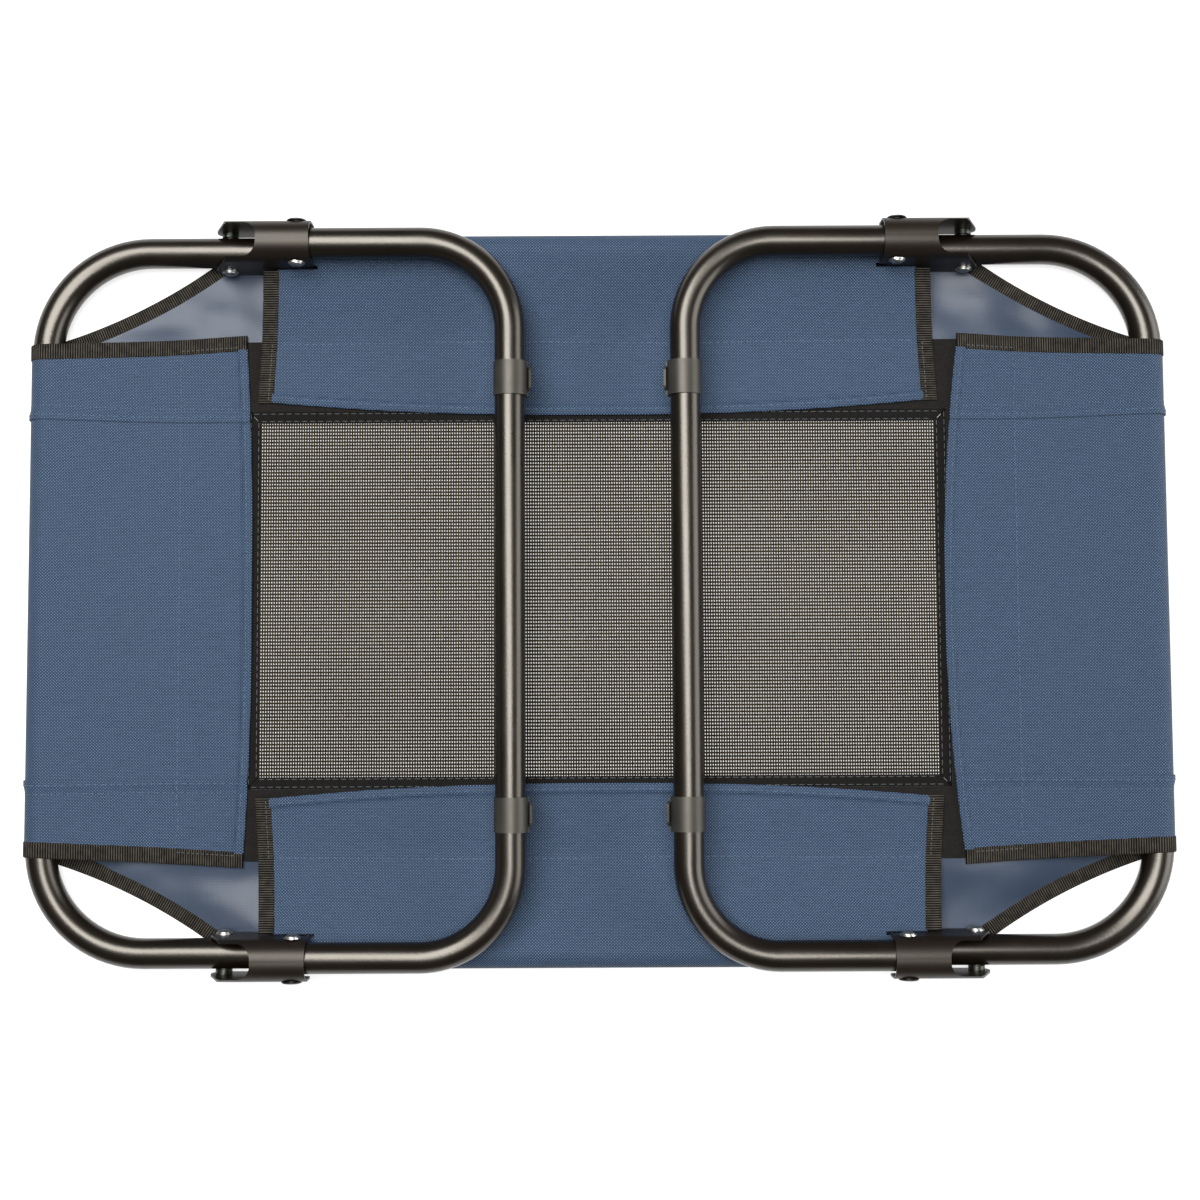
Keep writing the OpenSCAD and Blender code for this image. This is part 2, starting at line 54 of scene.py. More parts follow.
# ---- sizes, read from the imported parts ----

tube_lo, tube_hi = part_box("frame_tube_right")
TUBE_R = (tube_hi.z - tube_lo.z) / 2
AXIS_Z = (tube_hi.z + tube_lo.z) / 2
END_X = tube_hi.x - TUBE_R
RAIL_Y = tube_hi.y - TUBE_R
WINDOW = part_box("mesh_panel")[1]
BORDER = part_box("mesh_border")[1]
CLOTH_T = WINDOW.z
PIVOT_X = sum(corner.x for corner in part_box("pivot_rivet_right_back")) / 2
LEG_Z = sum(corner.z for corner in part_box("leg_rivet_right_back")) / 2
RIVET_X = sum(corner.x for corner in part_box("leg_rivet_right_back")) / 2
LOOP_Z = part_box("loop_tape_back")[1].z
FLAP_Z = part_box("hook_tape_back")[1].z
SIDE_TAPE_LO, SIDE_TAPE_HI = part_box("hook_tape_back")
END_TAPE_LO, END_TAPE_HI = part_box("hook_tape_right")
BINDING_W = 10 * MM
TAPE_INSET = 1 * MM
WRAP_R = AXIS_Z - CLOTH_T
SIDE_HALF = SIDE_TAPE_HI.x + BINDING_W          # half length of a side flap at the rail
SIDE_FLARE = 7 * MM                             # and how much longer it is at its hem
END_HALF = END_TAPE_HI.y                        # half width of an end flap at the tube
END_FLARE = 8.5 * MM                            # and how much wider it is at its hem
SIDE_FLAT = RAIL_Y - SIDE_TAPE_HI.y - TAPE_INSET
END_FLAT = END_X - END_TAPE_HI.x - TAPE_INSET
SIDE_HEM = RAIL_Y - SIDE_TAPE_LO.y + TAPE_INSET
END_HEM = END_X - END_TAPE_LO.x + TAPE_INSET
SEAM_INSET = 108.5 * MM                         # from a rail to the lapped seam beside it
SEAM_Y = RAIL_Y - SEAM_INSET
SLIT_U = (10.15 * MM, 12.35 * MM)               # slit for the bracket's inner ear
SLIT_PAST_EAR = 1.5 * MM
SLIT_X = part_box("hinge_bracket_right_back")[0].x - SLIT_PAST_EAR

# The hollow cut runs from the end flap's edge to the rail near the hinge pin
CUT_R = 360 * MM
CUT_PAST_FLAP = 3.5 * MM
CUT_PAST_PIN = 4 * MM
CUT_A = np.array([END_X, END_HALF + CUT_PAST_FLAP])
CUT_B = np.array([PIVOT_X + CUT_PAST_PIN, RAIL_Y])
CUT_STEP = CUT_A - CUT_B
CUT_LEN = float(np.linalg.norm(CUT_STEP))
CUT_SIDE = np.array([-CUT_STEP[1], CUT_STEP[0]]) / CUT_LEN
CUT_CENTRE = (CUT_A + CUT_B) / 2 + CUT_SIDE * math.sqrt(CUT_R**2 - CUT_LEN**2 / 4)
RAW_EDGE = BINDING_W - 1 * MM                   # from a binding's outer edge to the cloth under it


# ---- materials ----

class Shader:
    """A node material on one Principled shader, with short calls for the usual nodes."""

    def __init__(self, name):
        self.material = bpy.data.materials.new(name)
        self.material.use_nodes = True
        self.nodes = self.material.node_tree.nodes
        self.links = self.material.node_tree.links
        self.bsdf = self.nodes["Principled BSDF"]
        self.coordinates = self.nodes.new("ShaderNodeTexCoord")

    def plug(self, socket, value):
        if isinstance(value, bpy.types.NodeSocket):
            self.links.new(value, socket)
        else:
            socket.default_value = value

    def set(self, **values):
        for name, value in values.items():
            self.plug(self.bsdf.inputs[name.replace("_", " ")], value)

    def math(self, operation, a, b=0.0, c=0.0):
        node = self.nodes.new("ShaderNodeMath")
        node.operation = operation
        for socket, value in zip(node.inputs, (a, b, c)):
            self.plug(socket, value)
        return node.outputs[0]

    def noise(self, scale, detail=2.0, roughness=0.5, vector=None):
        node = self.nodes.new("ShaderNodeTexNoise")
        node.inputs["Scale"].default_value = scale
        node.inputs["Detail"].default_value = detail
        node.inputs["Roughness"].default_value = roughness
        self.links.new(vector or self.coordinates.outputs["Object"], node.inputs["Vector"])
        return node.outputs["Fac"]

    def stretch(self, scale):
        """Object coordinates scaled by a different amount along each axis."""
        node = self.nodes.new("ShaderNodeMapping")
        node.inputs["Scale"].default_value = scale
        self.links.new(self.coordinates.outputs["Object"], node.inputs["Vector"])
        return node.outputs["Vector"]

    def ramp(self, factor, stops):
        node = self.nodes.new("ShaderNodeValToRGB")
        elements = node.color_ramp.elements
        while len(elements) < len(stops):
            elements.new(0.5)
        for element, (place, colour) in zip(elements, stops):
            element.position = place
            element.color = (*colour, 1) if len(colour) == 3 else colour
        self.links.new(factor, node.inputs["Fac"])
        return node.outputs["Color"]

    def range(self, factor, low, high):
        """A number from 0 to 1 taken to the range low to high."""
        return self.math("MULTIPLY_ADD", factor, high - low, low)

    def mix(self, factor, a, b):
        node = self.nodes.new("ShaderNodeMix")
        node.data_type = "RGBA"
        self.plug(node.inputs["Factor"], factor)
        for socket, value in ((node.inputs[6], a), (node.inputs[7], b)):
            self.plug(socket, (*value, 1) if isinstance(value, tuple) else value)
        return node.outputs[2]

    def split(self, output):
        node = self.nodes.new("ShaderNodeSeparateXYZ")
        self.links.new(self.coordinates.outputs[output], node.inputs[0])
        return node.outputs

    def bump(self, height, distance, strength=1.0, normal=None):
        node = self.nodes.new("ShaderNodeBump")
        node.inputs["Distance"].default_value = distance
        node.inputs["Strength"].default_value = strength
        self.links.new(height, node.inputs["Height"])
        if normal is not None:
            self.links.new(normal, node.inputs["Normal"])
        return node.outputs["Normal"]


def scaled(colour, factor):
    """A darker or lighter colour of the same hue."""
    return tuple(channel * factor for channel in colour)


WARM = (1, 0.93, 0.82, 1)                       # tint of the gloss on paint and plastic
RIVET_DIMPLE_SHADE_R = 1.9 * MM                        # painted shade in the dimple of a leg rivet's head


def powder_coat(name, colour, roughness, gloss):
    """Satin powder coat: fine orange peel, a little dust and uneven gloss."""
    s = Shader(name)
    dust = s.noise(38, 4)
    speck = s.noise(1400, 2)
    peel = s.noise(520, 3)
    tone = s.math("ADD", s.math("MULTIPLY", dust, 0.6), s.math("MULTIPLY", speck, 0.4))
    s.set(
        Base_Color=s.ramp(tone, [(0.3, scaled(colour, 0.75)), (0.72, scaled(colour, 1.35))]),
        Roughness=s.range(dust, roughness - 0.05, roughness + 0.07),
        Specular_IOR_Level=gloss,
        Specular_Tint=WARM,
        Normal=s.bump(peel, 0.08 * MM, 0.5),
    )
    return s.material


def outside_rails(s):
    """1 outside the side rails and 0 between them."""
    _, y, _ = s.split("Object")
    return s.math("GREATER_THAN", s.math("ABSOLUTE", y), RAIL_Y)


def rivet_metal(name):
    """Zinc-plated rivets: painted outside the rail, bare inside, with painted shade in the dimple at
    the centre.
    """
    s = Shader(name)
    x, _, z = s.split("Object")
    off_x = s.math("SUBTRACT", s.math("ABSOLUTE", x), RIVET_X)
    off_z = s.math("SUBTRACT", z, LEG_Z)
    reach = s.math("SQRT", s.math("ADD", s.math("POWER", off_x, 2), s.math("POWER", off_z, 2)))
    # painted shade in the dimple at the centre of each leg rivet's head
    dimple_shade = s.math("LESS_THAN", reach, RIVET_DIMPLE_SHADE_R)
    dark = s.math("MAXIMUM", outside_rails(s), s.math("MULTIPLY", dimple_shade, 0.85))
    cloud = s.noise(420, 3)
    bright = s.ramp(cloud, [(0.3, (0.25, 0.25, 0.24)), (0.7, (0.5, 0.5, 0.49))])
    s.set(
        Base_Color=s.mix(dark, bright, (0.014, 0.012, 0.01)),
        Metallic=s.math("SUBTRACT", 1.0, dark),
        Roughness=s.math("MULTIPLY_ADD", dark, 0.08, s.range(cloud, 0.34, 0.44)),
        Normal=s.bump(s.noise(900, 2), 0.04 * MM),
    )
    return s.material


def plain_steel(name):
    """Plain washers inside the rails; the spacers outside them are darkened as painted shade of the
    gap between the outer ear and the tube.
    """
    s = Shader(name)
    cloud = s.noise(300, 3)
    bright = s.ramp(cloud, [(0.3, (0.45, 0.45, 0.43)), (0.7, (0.68, 0.68, 0.66))])
    s.set(
        # the dark colour outside the rails is painted shade of the gap between the outer ear and the
        # tube
        Base_Color=s.mix(outside_rails(s), bright, (0.05, 0.055, 0.045)),
        Metallic=1.0,
        Roughness=s.range(cloud, 0.28, 0.4),
        Normal=s.bump(s.noise(1100, 2), 0.03 * MM),
    )
    return s.material


def foot_plastic(name):
    """Moulded grey plastic with a satin skin."""
    s = Shader(name)
    cloud = s.noise(60, 3)
    s.set(
        Base_Color=s.ramp(cloud, [(0.3, (0.013, 0.0125, 0.0105)), (0.7, (0.02, 0.019, 0.0165))]),
        Roughness=s.range(s.noise(200, 2), 0.4, 0.5),
        Specular_Tint=WARM,
        Normal=s.bump(s.noise(1500, 2), 0.02 * MM),
    )
    return s.material


THREAD_PITCH = 0.945 * MM


def weave_height(s):
    """(checker of warp over weft, height of the threads) of a plain weave on the UVs."""
    u, v, _ = s.split("UV")
    across = s.math("SINE", s.math("MULTIPLY", u, math.pi / THREAD_PITCH))
    along = s.math("SINE", s.math("MULTIPLY", v, math.pi / THREAD_PITCH))
    checker = s.math("MULTIPLY", across, along)
    height = s.math("POWER", s.math("ABSOLUTE", checker), 0.5)
    return checker, height


def oxford_cloth(name, colour):
    """Plain-woven polyester: threads over and under with painted highlight on the thread crowns and
    painted shade between them, slubs, faint creases and a soft sheen.
    """
    s = Shader(name)
    checker, height = weave_height(s)
    patches = s.noise(26, 3)
    slubs = s.noise(160, 2, vector=s.stretch((1, 9, 1)))
    # painted highlight on the crowns of the crossing threads and painted shade between them,
    # stronger in some patches
    lift = s.math("MULTIPLY", checker, s.range(patches, 0.18, 0.5))
    tone = s.math("ADD", s.range(height, 0.15, 0.62), lift)
    tone = s.math("ADD", tone, s.math("MULTIPLY_ADD", slubs, 0.2, -0.1))
    fibres = s.bump(s.math("ADD", height, s.math("MULTIPLY", checker, 0.35)), 0.16 * MM)
    s.set(
        Base_Color=s.ramp(tone, [
            (0.1, scaled(colour, 0.1)), (0.5, scaled(colour, 0.9)), (0.9, scaled(colour, 2.6)),
        ]),
        Roughness=s.range(patches, 0.5, 0.62),
        Sheen_Weight=0.03,
        Sheen_Roughness=0.4,
        Specular_IOR_Level=0.14,
        Normal=s.bump(s.noise(45, 3), 2 * MM, 0.6, fibres),
    )
    return s.material


def coated_cloth(name):
    """The cloth's coated back: smooth and glossy, paler partly in its own colour and partly as
    painted sheen, with the weave just showing as painted highlight on the thread crowns.
    """
    s = Shader(name)
    _, height = weave_height(s)
    patches = s.noise(14, 3)
    waves = s.bump(s.noise(7, 1.5, vector=s.stretch((1.2, -1.7, 1))), 32 * MM, 1.0)
    # the pale base colour carries painted sheen of the coating as well as its own colour; the weave
    # height adds painted highlight on the thread crowns
    tone = s.math("ADD", s.math("MULTIPLY", patches, 0.8), s.math("MULTIPLY", height, 0.2))
    s.set(
        Base_Color=s.ramp(tone, [(0.3, (0.017, 0.026, 0.044)), (0.75, (0.034, 0.046, 0.068))]),
        Roughness=s.range(s.noise(40, 2), 0.28, 0.36),
        Specular_IOR_Level=0.2,
        Normal=s.bump(height, 0.025 * MM, 1.0, waves),
    )
    return s.material


RIB_PITCH = 1.5 * MM
RIB_YARN = 0.7 * MM


def ribbed_tape(name, dark, crest_highlight):
    """Woven edge binding: ribs across the tape, with painted highlight on each rib's crest."""
    s = Shader(name)
    u, v, _ = s.split("UV")
    rib = s.math("ABSOLUTE", s.math("SINE", s.math("MULTIPLY", u, math.pi / RIB_PITCH)))
    yarn = s.math("ABSOLUTE", s.math("SINE", s.math("MULTIPLY", v, math.pi / RIB_YARN)))
    crest = s.math("POWER", rib, 3)
    wear = s.noise(220, 3)
    tone = s.math("MULTIPLY", crest, s.math("MULTIPLY_ADD", wear, 1.2, 0.1))
    tone = s.math("MULTIPLY", tone, s.range(yarn, 0.55, 1.0))
    s.set(
        # the lighter colour is painted highlight on the rib crests
        Base_Color=s.ramp(tone, [(0.1, dark), (0.85, crest_highlight)]),
        Roughness=s.range(wear, 0.55, 0.75),
        Specular_IOR_Level=0.08,
        Normal=s.bump(s.math("MULTIPLY", rib, s.range(yarn, 0.7, 1.0)), 0.2 * MM),
    )
    return s.material


def pile_tape(name, colour):
    """Hook and loop tape: a matted dark pile."""
    s = Shader(name)
    pile = s.noise(900, 4, 0.7)
    mat = s.noise(130, 3)
    s.set(
        Base_Color=s.ramp(s.math("MULTIPLY", pile, s.range(mat, 0.7, 1.2)), [
            (0.25, scaled(colour, 0.5)), (0.75, scaled(colour, 2.2)),
        ]),
        Roughness=0.85,
        Specular_IOR_Level=0.12,
        Sheen_Weight=0.04,
        Normal=s.bump(pile, 0.5 * MM),
    )
    return s.material


def mesh_yarn(name):
    """Vinyl-coated yarn of the window, a little uneven from thread to thread."""
    s = Shader(name)
    uneven = s.noise(300, 2)
    s.set(
        Base_Color=s.ramp(uneven, [(0.3, (0.013, 0.0105, 0.0055)), (0.7, (0.03, 0.0235, 0.012))]),
        Roughness=s.range(uneven, 0.6, 0.72),
        Specular_IOR_Level=0.06,
        Normal=s.bump(s.noise(2500, 2), 0.05 * MM),
    )
    return s.material


def sewing_thread(name, colour):
    """Twisted polyester thread."""
    s = Shader(name)
    twist = s.noise(1800, 2)
    s.set(
        Base_Color=s.ramp(twist, [(0.3, scaled(colour, 0.7)), (0.7, scaled(colour, 1.25))]),
        Roughness=0.55,
        Specular_IOR_Level=0.25,
        Sheen_Weight=0.05,
        Normal=s.bump(twist, 0.08 * MM),
    )
    return s.material


BLUE = (0.028, 0.048, 0.083)
MATERIALS = {
    "tube": powder_coat("tube_paint", (0.0028, 0.0014, 0.0005), 0.29, 0.6),
    "bracket": powder_coat("bracket_paint", (0.0046, 0.0026, 0.0014), 0.42, 0.36),
    "rivet": rivet_metal("rivet_zinc"),
    "steel": plain_steel("sleeve_steel"),
    "foot": foot_plastic("foot_plastic"),
    "cloth": oxford_cloth("cover_cloth", BLUE),
    "coating": coated_cloth("cover_coating"),
    # the second colour of each tape is painted highlight on its rib crests
    "binding": ribbed_tape("binding_tape", (0.001, 0.0008, 0.0006), (0.066, 0.058, 0.046)),
    "border": ribbed_tape("border_tape", (0.002, 0.0018, 0.0016), (0.01, 0.0092, 0.0085)),
    "loop": pile_tape("loop_pile", (0.005, 0.0042, 0.0036)),
    "hook": pile_tape("hook_pile", (0.004, 0.004, 0.004)),
    "mesh": mesh_yarn("mesh_yarn"),
    "blue_thread": sewing_thread("blue_thread", (0.045, 0.078, 0.125)),
    "pale_thread": sewing_thread("pale_thread", (0.06, 0.064, 0.062)),
}


# ---- building pieces ----

def add_object(name, data):
    """A new object in the scene."""
    item = bpy.data.objects.new(name, data)
    bpy.context.scene.collection.objects.link(item)
    return item


def link_mesh(name, points, faces, materials, face_slots=None, uvs=None, smooth=None):
    """A mesh object from plain lists. uvs has one pair for each point."""
    mesh = bpy.data.meshes.new(name)
    mesh.from_pydata([tuple(p) for p in points], [], faces)
    for key in materials:
        mesh.materials.append(MATERIALS[key])
    if face_slots is not None:
        mesh.polygons.foreach_set("material_index", np.array(face_slots, np.int32))
    if uvs is not None:
        layer = mesh.uv_layers.new(name="UVMap")
        corners = np.zeros(len(mesh.loops), np.int32)
        mesh.loops.foreach_get("vertex_index", corners)
        layer.data.foreach_set("uv", np.array(uvs, np.float32)[corners].ravel())
    if smooth is None:
        smooth = np.ones(len(faces), bool)
    mesh.polygons.foreach_set("use_smooth", np.array(smooth, bool))
    mesh.update()
    return add_object(name, mesh)


def turn_outwards(piece):
    """Turns the faces of closed shells outwards and keeps the edges of flat faces sharp."""
    shell = bmesh.new()
    shell.from_mesh(piece.data)
    bmesh.ops.recalc_face_normals(shell, faces=shell.faces)
    for edge in shell.edges:
        edge.smooth = all(face.smooth for face in edge.link_faces)
    shell.to_mesh(piece.data)
    shell.free()


def slab(name, under, over, uv, materials, keep=None, slots=(0, 0)):
    """A closed sheet between two grids of points, under and over, with walls at its edges.

    keep says which cells of the grid there are; slots are the materials over and under."""
    rows, columns = under.shape[:2]
    if keep is None:
        keep = np.ones((rows - 1, columns - 1), bool)
    count = rows * columns
    points = np.concatenate([over.reshape(-1, 3), under.reshape(-1, 3)])
    uvs = np.concatenate([uv.reshape(-1, 2)] * 2)
    index = np.arange(count).reshape(rows, columns)
    faces, face_slots, smooth = [], [], []
    padded = np.zeros((rows + 1, columns + 1), bool)
    padded[1:-1, 1:-1] = keep
    for i, j in zip(*np.nonzero(keep)):
        a, b, c, d = index[i, j], index[i, j + 1], index[i + 1, j + 1], index[i + 1, j]
        faces += [(a, b, c, d), (d + count, c + count, b + count, a + count)]
        face_slots += [slots[0], slots[1]]
        smooth += [True, True]
        around = (
            (padded[i, j + 1], a, b), (padded[i + 1, j + 2], b, c),
            (padded[i + 2, j + 1], c, d), (padded[i + 1, j], d, a),
        )
        for joined, p, q in around:
            if not joined:
                faces.append((q, p, p + count, q + count))
                face_slots.append(slots[0])
                smooth.append(False)
    used, inverse = np.unique(np.concatenate([np.array(f) for f in faces]), return_inverse=True)
    sizes = np.cumsum([len(f) for f in faces])[:-1]
    faces = [tuple(int(k) for k in f) for f in np.split(inverse, sizes)]
    piece = link_mesh(name, points[used], faces, materials, face_slots, uvs[used], smooth)
    turn_outwards(piece)
    return piece


def add_tube(points, faces, rings):
    """Adds a closed tube through rings of points."""
    base, size = len(points), len(rings[0])
    for ring in rings:
        points.extend(ring)
    last = base + (len(rings) - 1) * size
    for start in range(base, last, size):
        for k in range(size):
            a, b = start + k, start + (k + 1) % size
            faces.append((a, b, b + size, a + size))
    faces.append(tuple(base + k for k in reversed(range(size))))
    faces.append(tuple(last + k for k in range(size)))


def grid_normals(points, up_row):
    """Normals of a grid of points, on the side that faces up at the given row."""
    normal = np.cross(np.gradient(points, axis=0), np.gradient(points, axis=1))
    normal /= np.maximum(np.linalg.norm(normal, axis=2, keepdims=True), 1e-12)
    return normal * np.sign(normal[up_row, points.shape[1] // 2, 2])


def finish_piece(piece, replaced=()):
    """Attaches a piece of the cover to the bed frame and hides the CAD parts it stands for."""
    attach(piece, "bed_frame")
    if replaced:
        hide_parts(*replaced)


def smoothstep(low, high, value):
    """0 up to low, 1 from high on, and a smooth step between them."""
    t = np.clip((value - low) / (high - low), 0, 1)
    return t * t * (3 - 2 * t)


def joined_steps(*stops, step):
    """Numbers that pass through every stop, at most step apart."""
    parts = [
        np.linspace(a, b, max(2, math.ceil(abs(b - a) / step) + 1))[:-1]
        for a, b in zip(stops[:-1], stops[1:])
    ]
    return np.concatenate([*parts, [stops[-1]]])


# ---- the cloth's section: s runs over the face, round the tube and down to the hem ----

FAR = 0.4                                       # past the middle of the bed
LIE_PAST = 14 * MM                              # from a tape's edge to where its flap lies flat
EXTRA_LEAN = 0.05                               # radians steeper than a straight line at the tube
TURN_STEP = 4                                   # degrees between points round the tube


class Section:
    """Inner face of the cloth at one edge of the bed, in u (inwards from the rail) and z.

    s is 0 right under the tube, negative on the sleeping face and positive round the
    tube, up to top_s above it, and on down the flap."""

    def __init__(self, flat_u):
        lie_u = flat_u + LIE_PAST
        drop = AXIS_Z - FLAP_Z
        straight = math.asin(WRAP_R / math.hypot(lie_u, drop)) + math.atan2(drop, lie_u)
        lean = straight + EXTRA_LEAN
        turn = np.radians(np.arange(0, 180 + math.degrees(lean), TURN_STEP))
        turn = np.append(turn, math.pi + lean)
        arc = np.stack([-WRAP_R * np.sin(turn), AXIS_Z - WRAP_R * np.cos(turn)], 1)
        start, t = arc[-1], np.linspace(0, 1, 60)[1:]
        span = lie_u - start[0]
        rise, slope = start[1] - FLAP_Z, -math.tan(lean) * span
        fall = slope * (t - 2 * t**2 + t**3) + rise * (1 - 3 * t**2 + 2 * t**3)
        flap = np.stack([start[0] + span * t, FLAP_Z + fall], 1)
        face = np.array([[FAR, CLOTH_T]])
        end = np.array([[FAR, FLAP_Z]])
        self.line = np.concatenate([face, arc, flap, end])
        steps = np.linalg.norm(np.diff(self.line, axis=0), axis=1)
        self.s = np.concatenate([[0], np.cumsum(steps)]) - FAR
        self.top_s = WRAP_R * math.pi
        self.flap_s = float(self.s[len(arc)])

    def at(self, s):
        """(u, z) of the inner face at s."""
        return np.interp(s, self.s, self.line[:, 0]), np.interp(s, self.s, self.line[:, 1])

    def normal(self, s):
        """(u, z) of the direction out of the cloth's outer face at s."""
        step = 0.3 * MM
        u0, z0 = self.at(s - step)
        u1, z1 = self.at(s + step)
        size = np.maximum(np.hypot(u1 - u0, z1 - z0), 1e-9)
        return -(z1 - z0) / size, (u1 - u0) / size

    def s_of(self, u):
        """s on the flap at a distance u from the rail."""
        part = self.s >= self.flap_s
        return np.interp(u, self.line[part, 0], self.s[part])


SIDE = Section(SIDE_FLAT)
END = Section(END_FLAT)


def ripples(a, b, phase):
    """Slow waves from 0 to 1 over the cloth, at a and b in metres."""
    waves = (
        np.sin(a / (23 * MM) + 1.3 * phase + 0.8 * np.sin(b / (31 * MM)))
        + np.sin(b / (17 * MM) + 2.1 * phase + a / (60 * MM))
        + 0.6 * np.sin((a + 0.7 * b) / (11 * MM) + 0.4 * phase)
    )
    return 0.5 + waves / 5.2


WAVE_H = 0.35 * MM
EDGE_WAVE_H = 0.5 * MM
WAVES_START = (6 * MM, 40 * MM)                 # past the tube, where the waves grow
EDGE_WAVE_REACH = 45 * MM


def flap_lift(section, s, v, half, phase):
    """How far the flap stands off its rest: nothing on the tube, small waves further in."""
    free = smoothstep(*(section.flap_s + start for start in WAVES_START), s)
    edge = smoothstep(half - EDGE_WAVE_REACH, half, np.abs(v))
    return free * (WAVE_H * ripples(v, s, phase) + EDGE_WAVE_H * edge * ripples(s, v, phase + 2))


def side_lift(side_y, s, v):
    return flap_lift(SIDE, s, v, SIDE_HALF, side_y)


def end_lift(side_x, s, v):
    return flap_lift(END, s, v, END_HALF, 3 + side_x)


LAP_GAP = 0.55 * MM


def lap_lift(side_x, s, v):
    """Lift of the outer parts of an end flap, which lie over the middle part at the seam."""
    over = 1 - smoothstep(SEAM_Y + 2 * MM, SEAM_Y + 8 * MM, np.abs(v))
    return end_lift(side_x, s, v) + over * (CLOTH_T + LAP_GAP)


def on_section(section, s, lift):
    """(u, z) of the point lifted off the section along its normal."""
    u, z = section.at(s)
    nu, nz = section.normal(s)
    return u + nu * lift, z + nz * lift


def beside_rail(side_y, v, u, z):
    """The point v along the front or back rail and u inwards from it."""
    return np.stack(np.broadcast_arrays(v, side_y * (RAIL_Y - u), z), -1)


def beside_end(side_x, v, u, z):
    """The point v along the left or right end tube and u inwards from it."""
    return np.stack(np.broadcast_arrays(side_x * (END_X - u), v, z), -1)


def side_points(side_y, s, v, lift):
    return beside_rail(side_y, v, *on_section(SIDE, s, lift))


def end_points(side_x, s, v, lift):
    return beside_end(side_x, v, *on_section(END, s, lift))


SIDE_BOW = (10 * MM, 2.4)                       # (depth at the ends, power) of a hem's bow
END_BOW = {LEFT: (5 * MM, 2.5), RIGHT: (11.5 * MM, 2.2)}


def bowed_hem(reach, half, bow, v):
    """How far a flap reaches: its hem bows back towards the tube at its ends."""
    depth, power = bow
    return reach - depth * np.minimum(np.abs(v) / half, 1) ** power


def side_hem(v):
    return bowed_hem(SIDE_HEM + 1 * MM, SIDE_HALF + SIDE_FLARE, SIDE_BOW, v)


def end_hem(side_x, v):
    return bowed_hem(END_HEM + 2 * MM, END_HALF + END_FLARE, END_BOW[side_x], v)


def side_half(s):
    """Half length of a side flap at s: it widens towards its hem."""
    return SIDE_HALF + SIDE_FLARE * np.clip((s - SIDE.top_s) / SIDE_HEM, 0, 1)


def end_half(s):
    """Half width of an end flap at s: it widens towards its hem."""
    return END_HALF + END_FLARE * np.clip((s - END.top_s) / END_HEM, 0, 1)


def corner_half(y):
    """Half length of the face at a distance y from the middle line, up to the hollow cut."""
    radius = CUT_R + RAW_EDGE
    dy = np.clip(y - CUT_CENTRE[1], -radius, radius)
    return float(np.minimum(END_X, CUT_CENTRE[0] - np.sqrt(radius**2 - dy**2)))


HEM_BAND = 5.6 * MM                             # the turned-in edge shows as a raised band
HEM_RISE = 0.7 * MM
# The band, as (mm short of the hem's line, share of the rise)
HEM_STEPS = ((5.1, 0.5), (4.8, 0.95), (3, 1), (1.2, 0.9), (0.4, 0.6), (0, 0.3))
# The fold round the hem, as (past the hem's line, below the flap)
HEM_FOLD = MM * np.array([
    (0.08, 0.03), (0.11, 0.1), (0.08, 0.17), (0, 0.2), (-0.6, 0.2), (-5, 0.2),
])
FLAP_STEPS = 16
FACE_UNDER_BORDER = 3 * MM
FACE_STOP = -0.5 * MM                           # s where the face meets the turn round the tube
SIDE_TUCK = -9 * MM                             # s where the face starts to narrow to its flap
END_TUCK = -4 * MM
CORNER_RISE = 2 * MM                            # waves in the face beside the hollow cuts
CORNER_COLUMNS = (0.86, 0.94)                   # where these waves grow
CORNER_LENGTH = 100 * MM
COLUMN_STEP = 0.0125
SLIT_SHARE = 0.82                               # column where a side flap's slit starts
FLAP_UNDER_LAP = 2 * MM


def cover_mesh(name, points_of, rows, kept=None):
    """The cloth through rows of (s, v, lift): woven outside, coated inside."""
    shape = rows[0][1].shape
    s, v, lift = (np.array([np.broadcast_to(row[k], shape) for row in rows]) for k in range(3))
    inner = points_of(s, v, lift)
    above = next(i for i, row in enumerate(s) if row.max() > SIDE.flap_s + 10 * MM)
    outer = inner + grid_normals(inner, above) * CLOTH_T
    return slab(name, inner, outer, np.stack([s, v], -1), ["cloth", "coating"], kept, (0, 1))


def flap_rows(section, start, hem_u, place, lift_of):
    """Rows from start on the flap to its hem and round the folded edge, as (s, v, lift)."""
    rows = []
    hem_s = section.s_of(hem_u(place(start)))
    for share in np.linspace(0, 1, FLAP_STEPS + 1)[1:]:
        s = start + (hem_s - HEM_BAND - start) * share
        rows.append((s, place(s), lift_of(s, place(s))))
    for to_hem, share in HEM_STEPS:
        s = hem_s - to_hem * MM
        rows.append((s, place(s), lift_of(s, place(s)) + HEM_RISE * share))
    hem_s, v, lift = rows[-1]
    return rows + [(hem_s + past, v, lift - below) for past, below in HEM_FOLD]


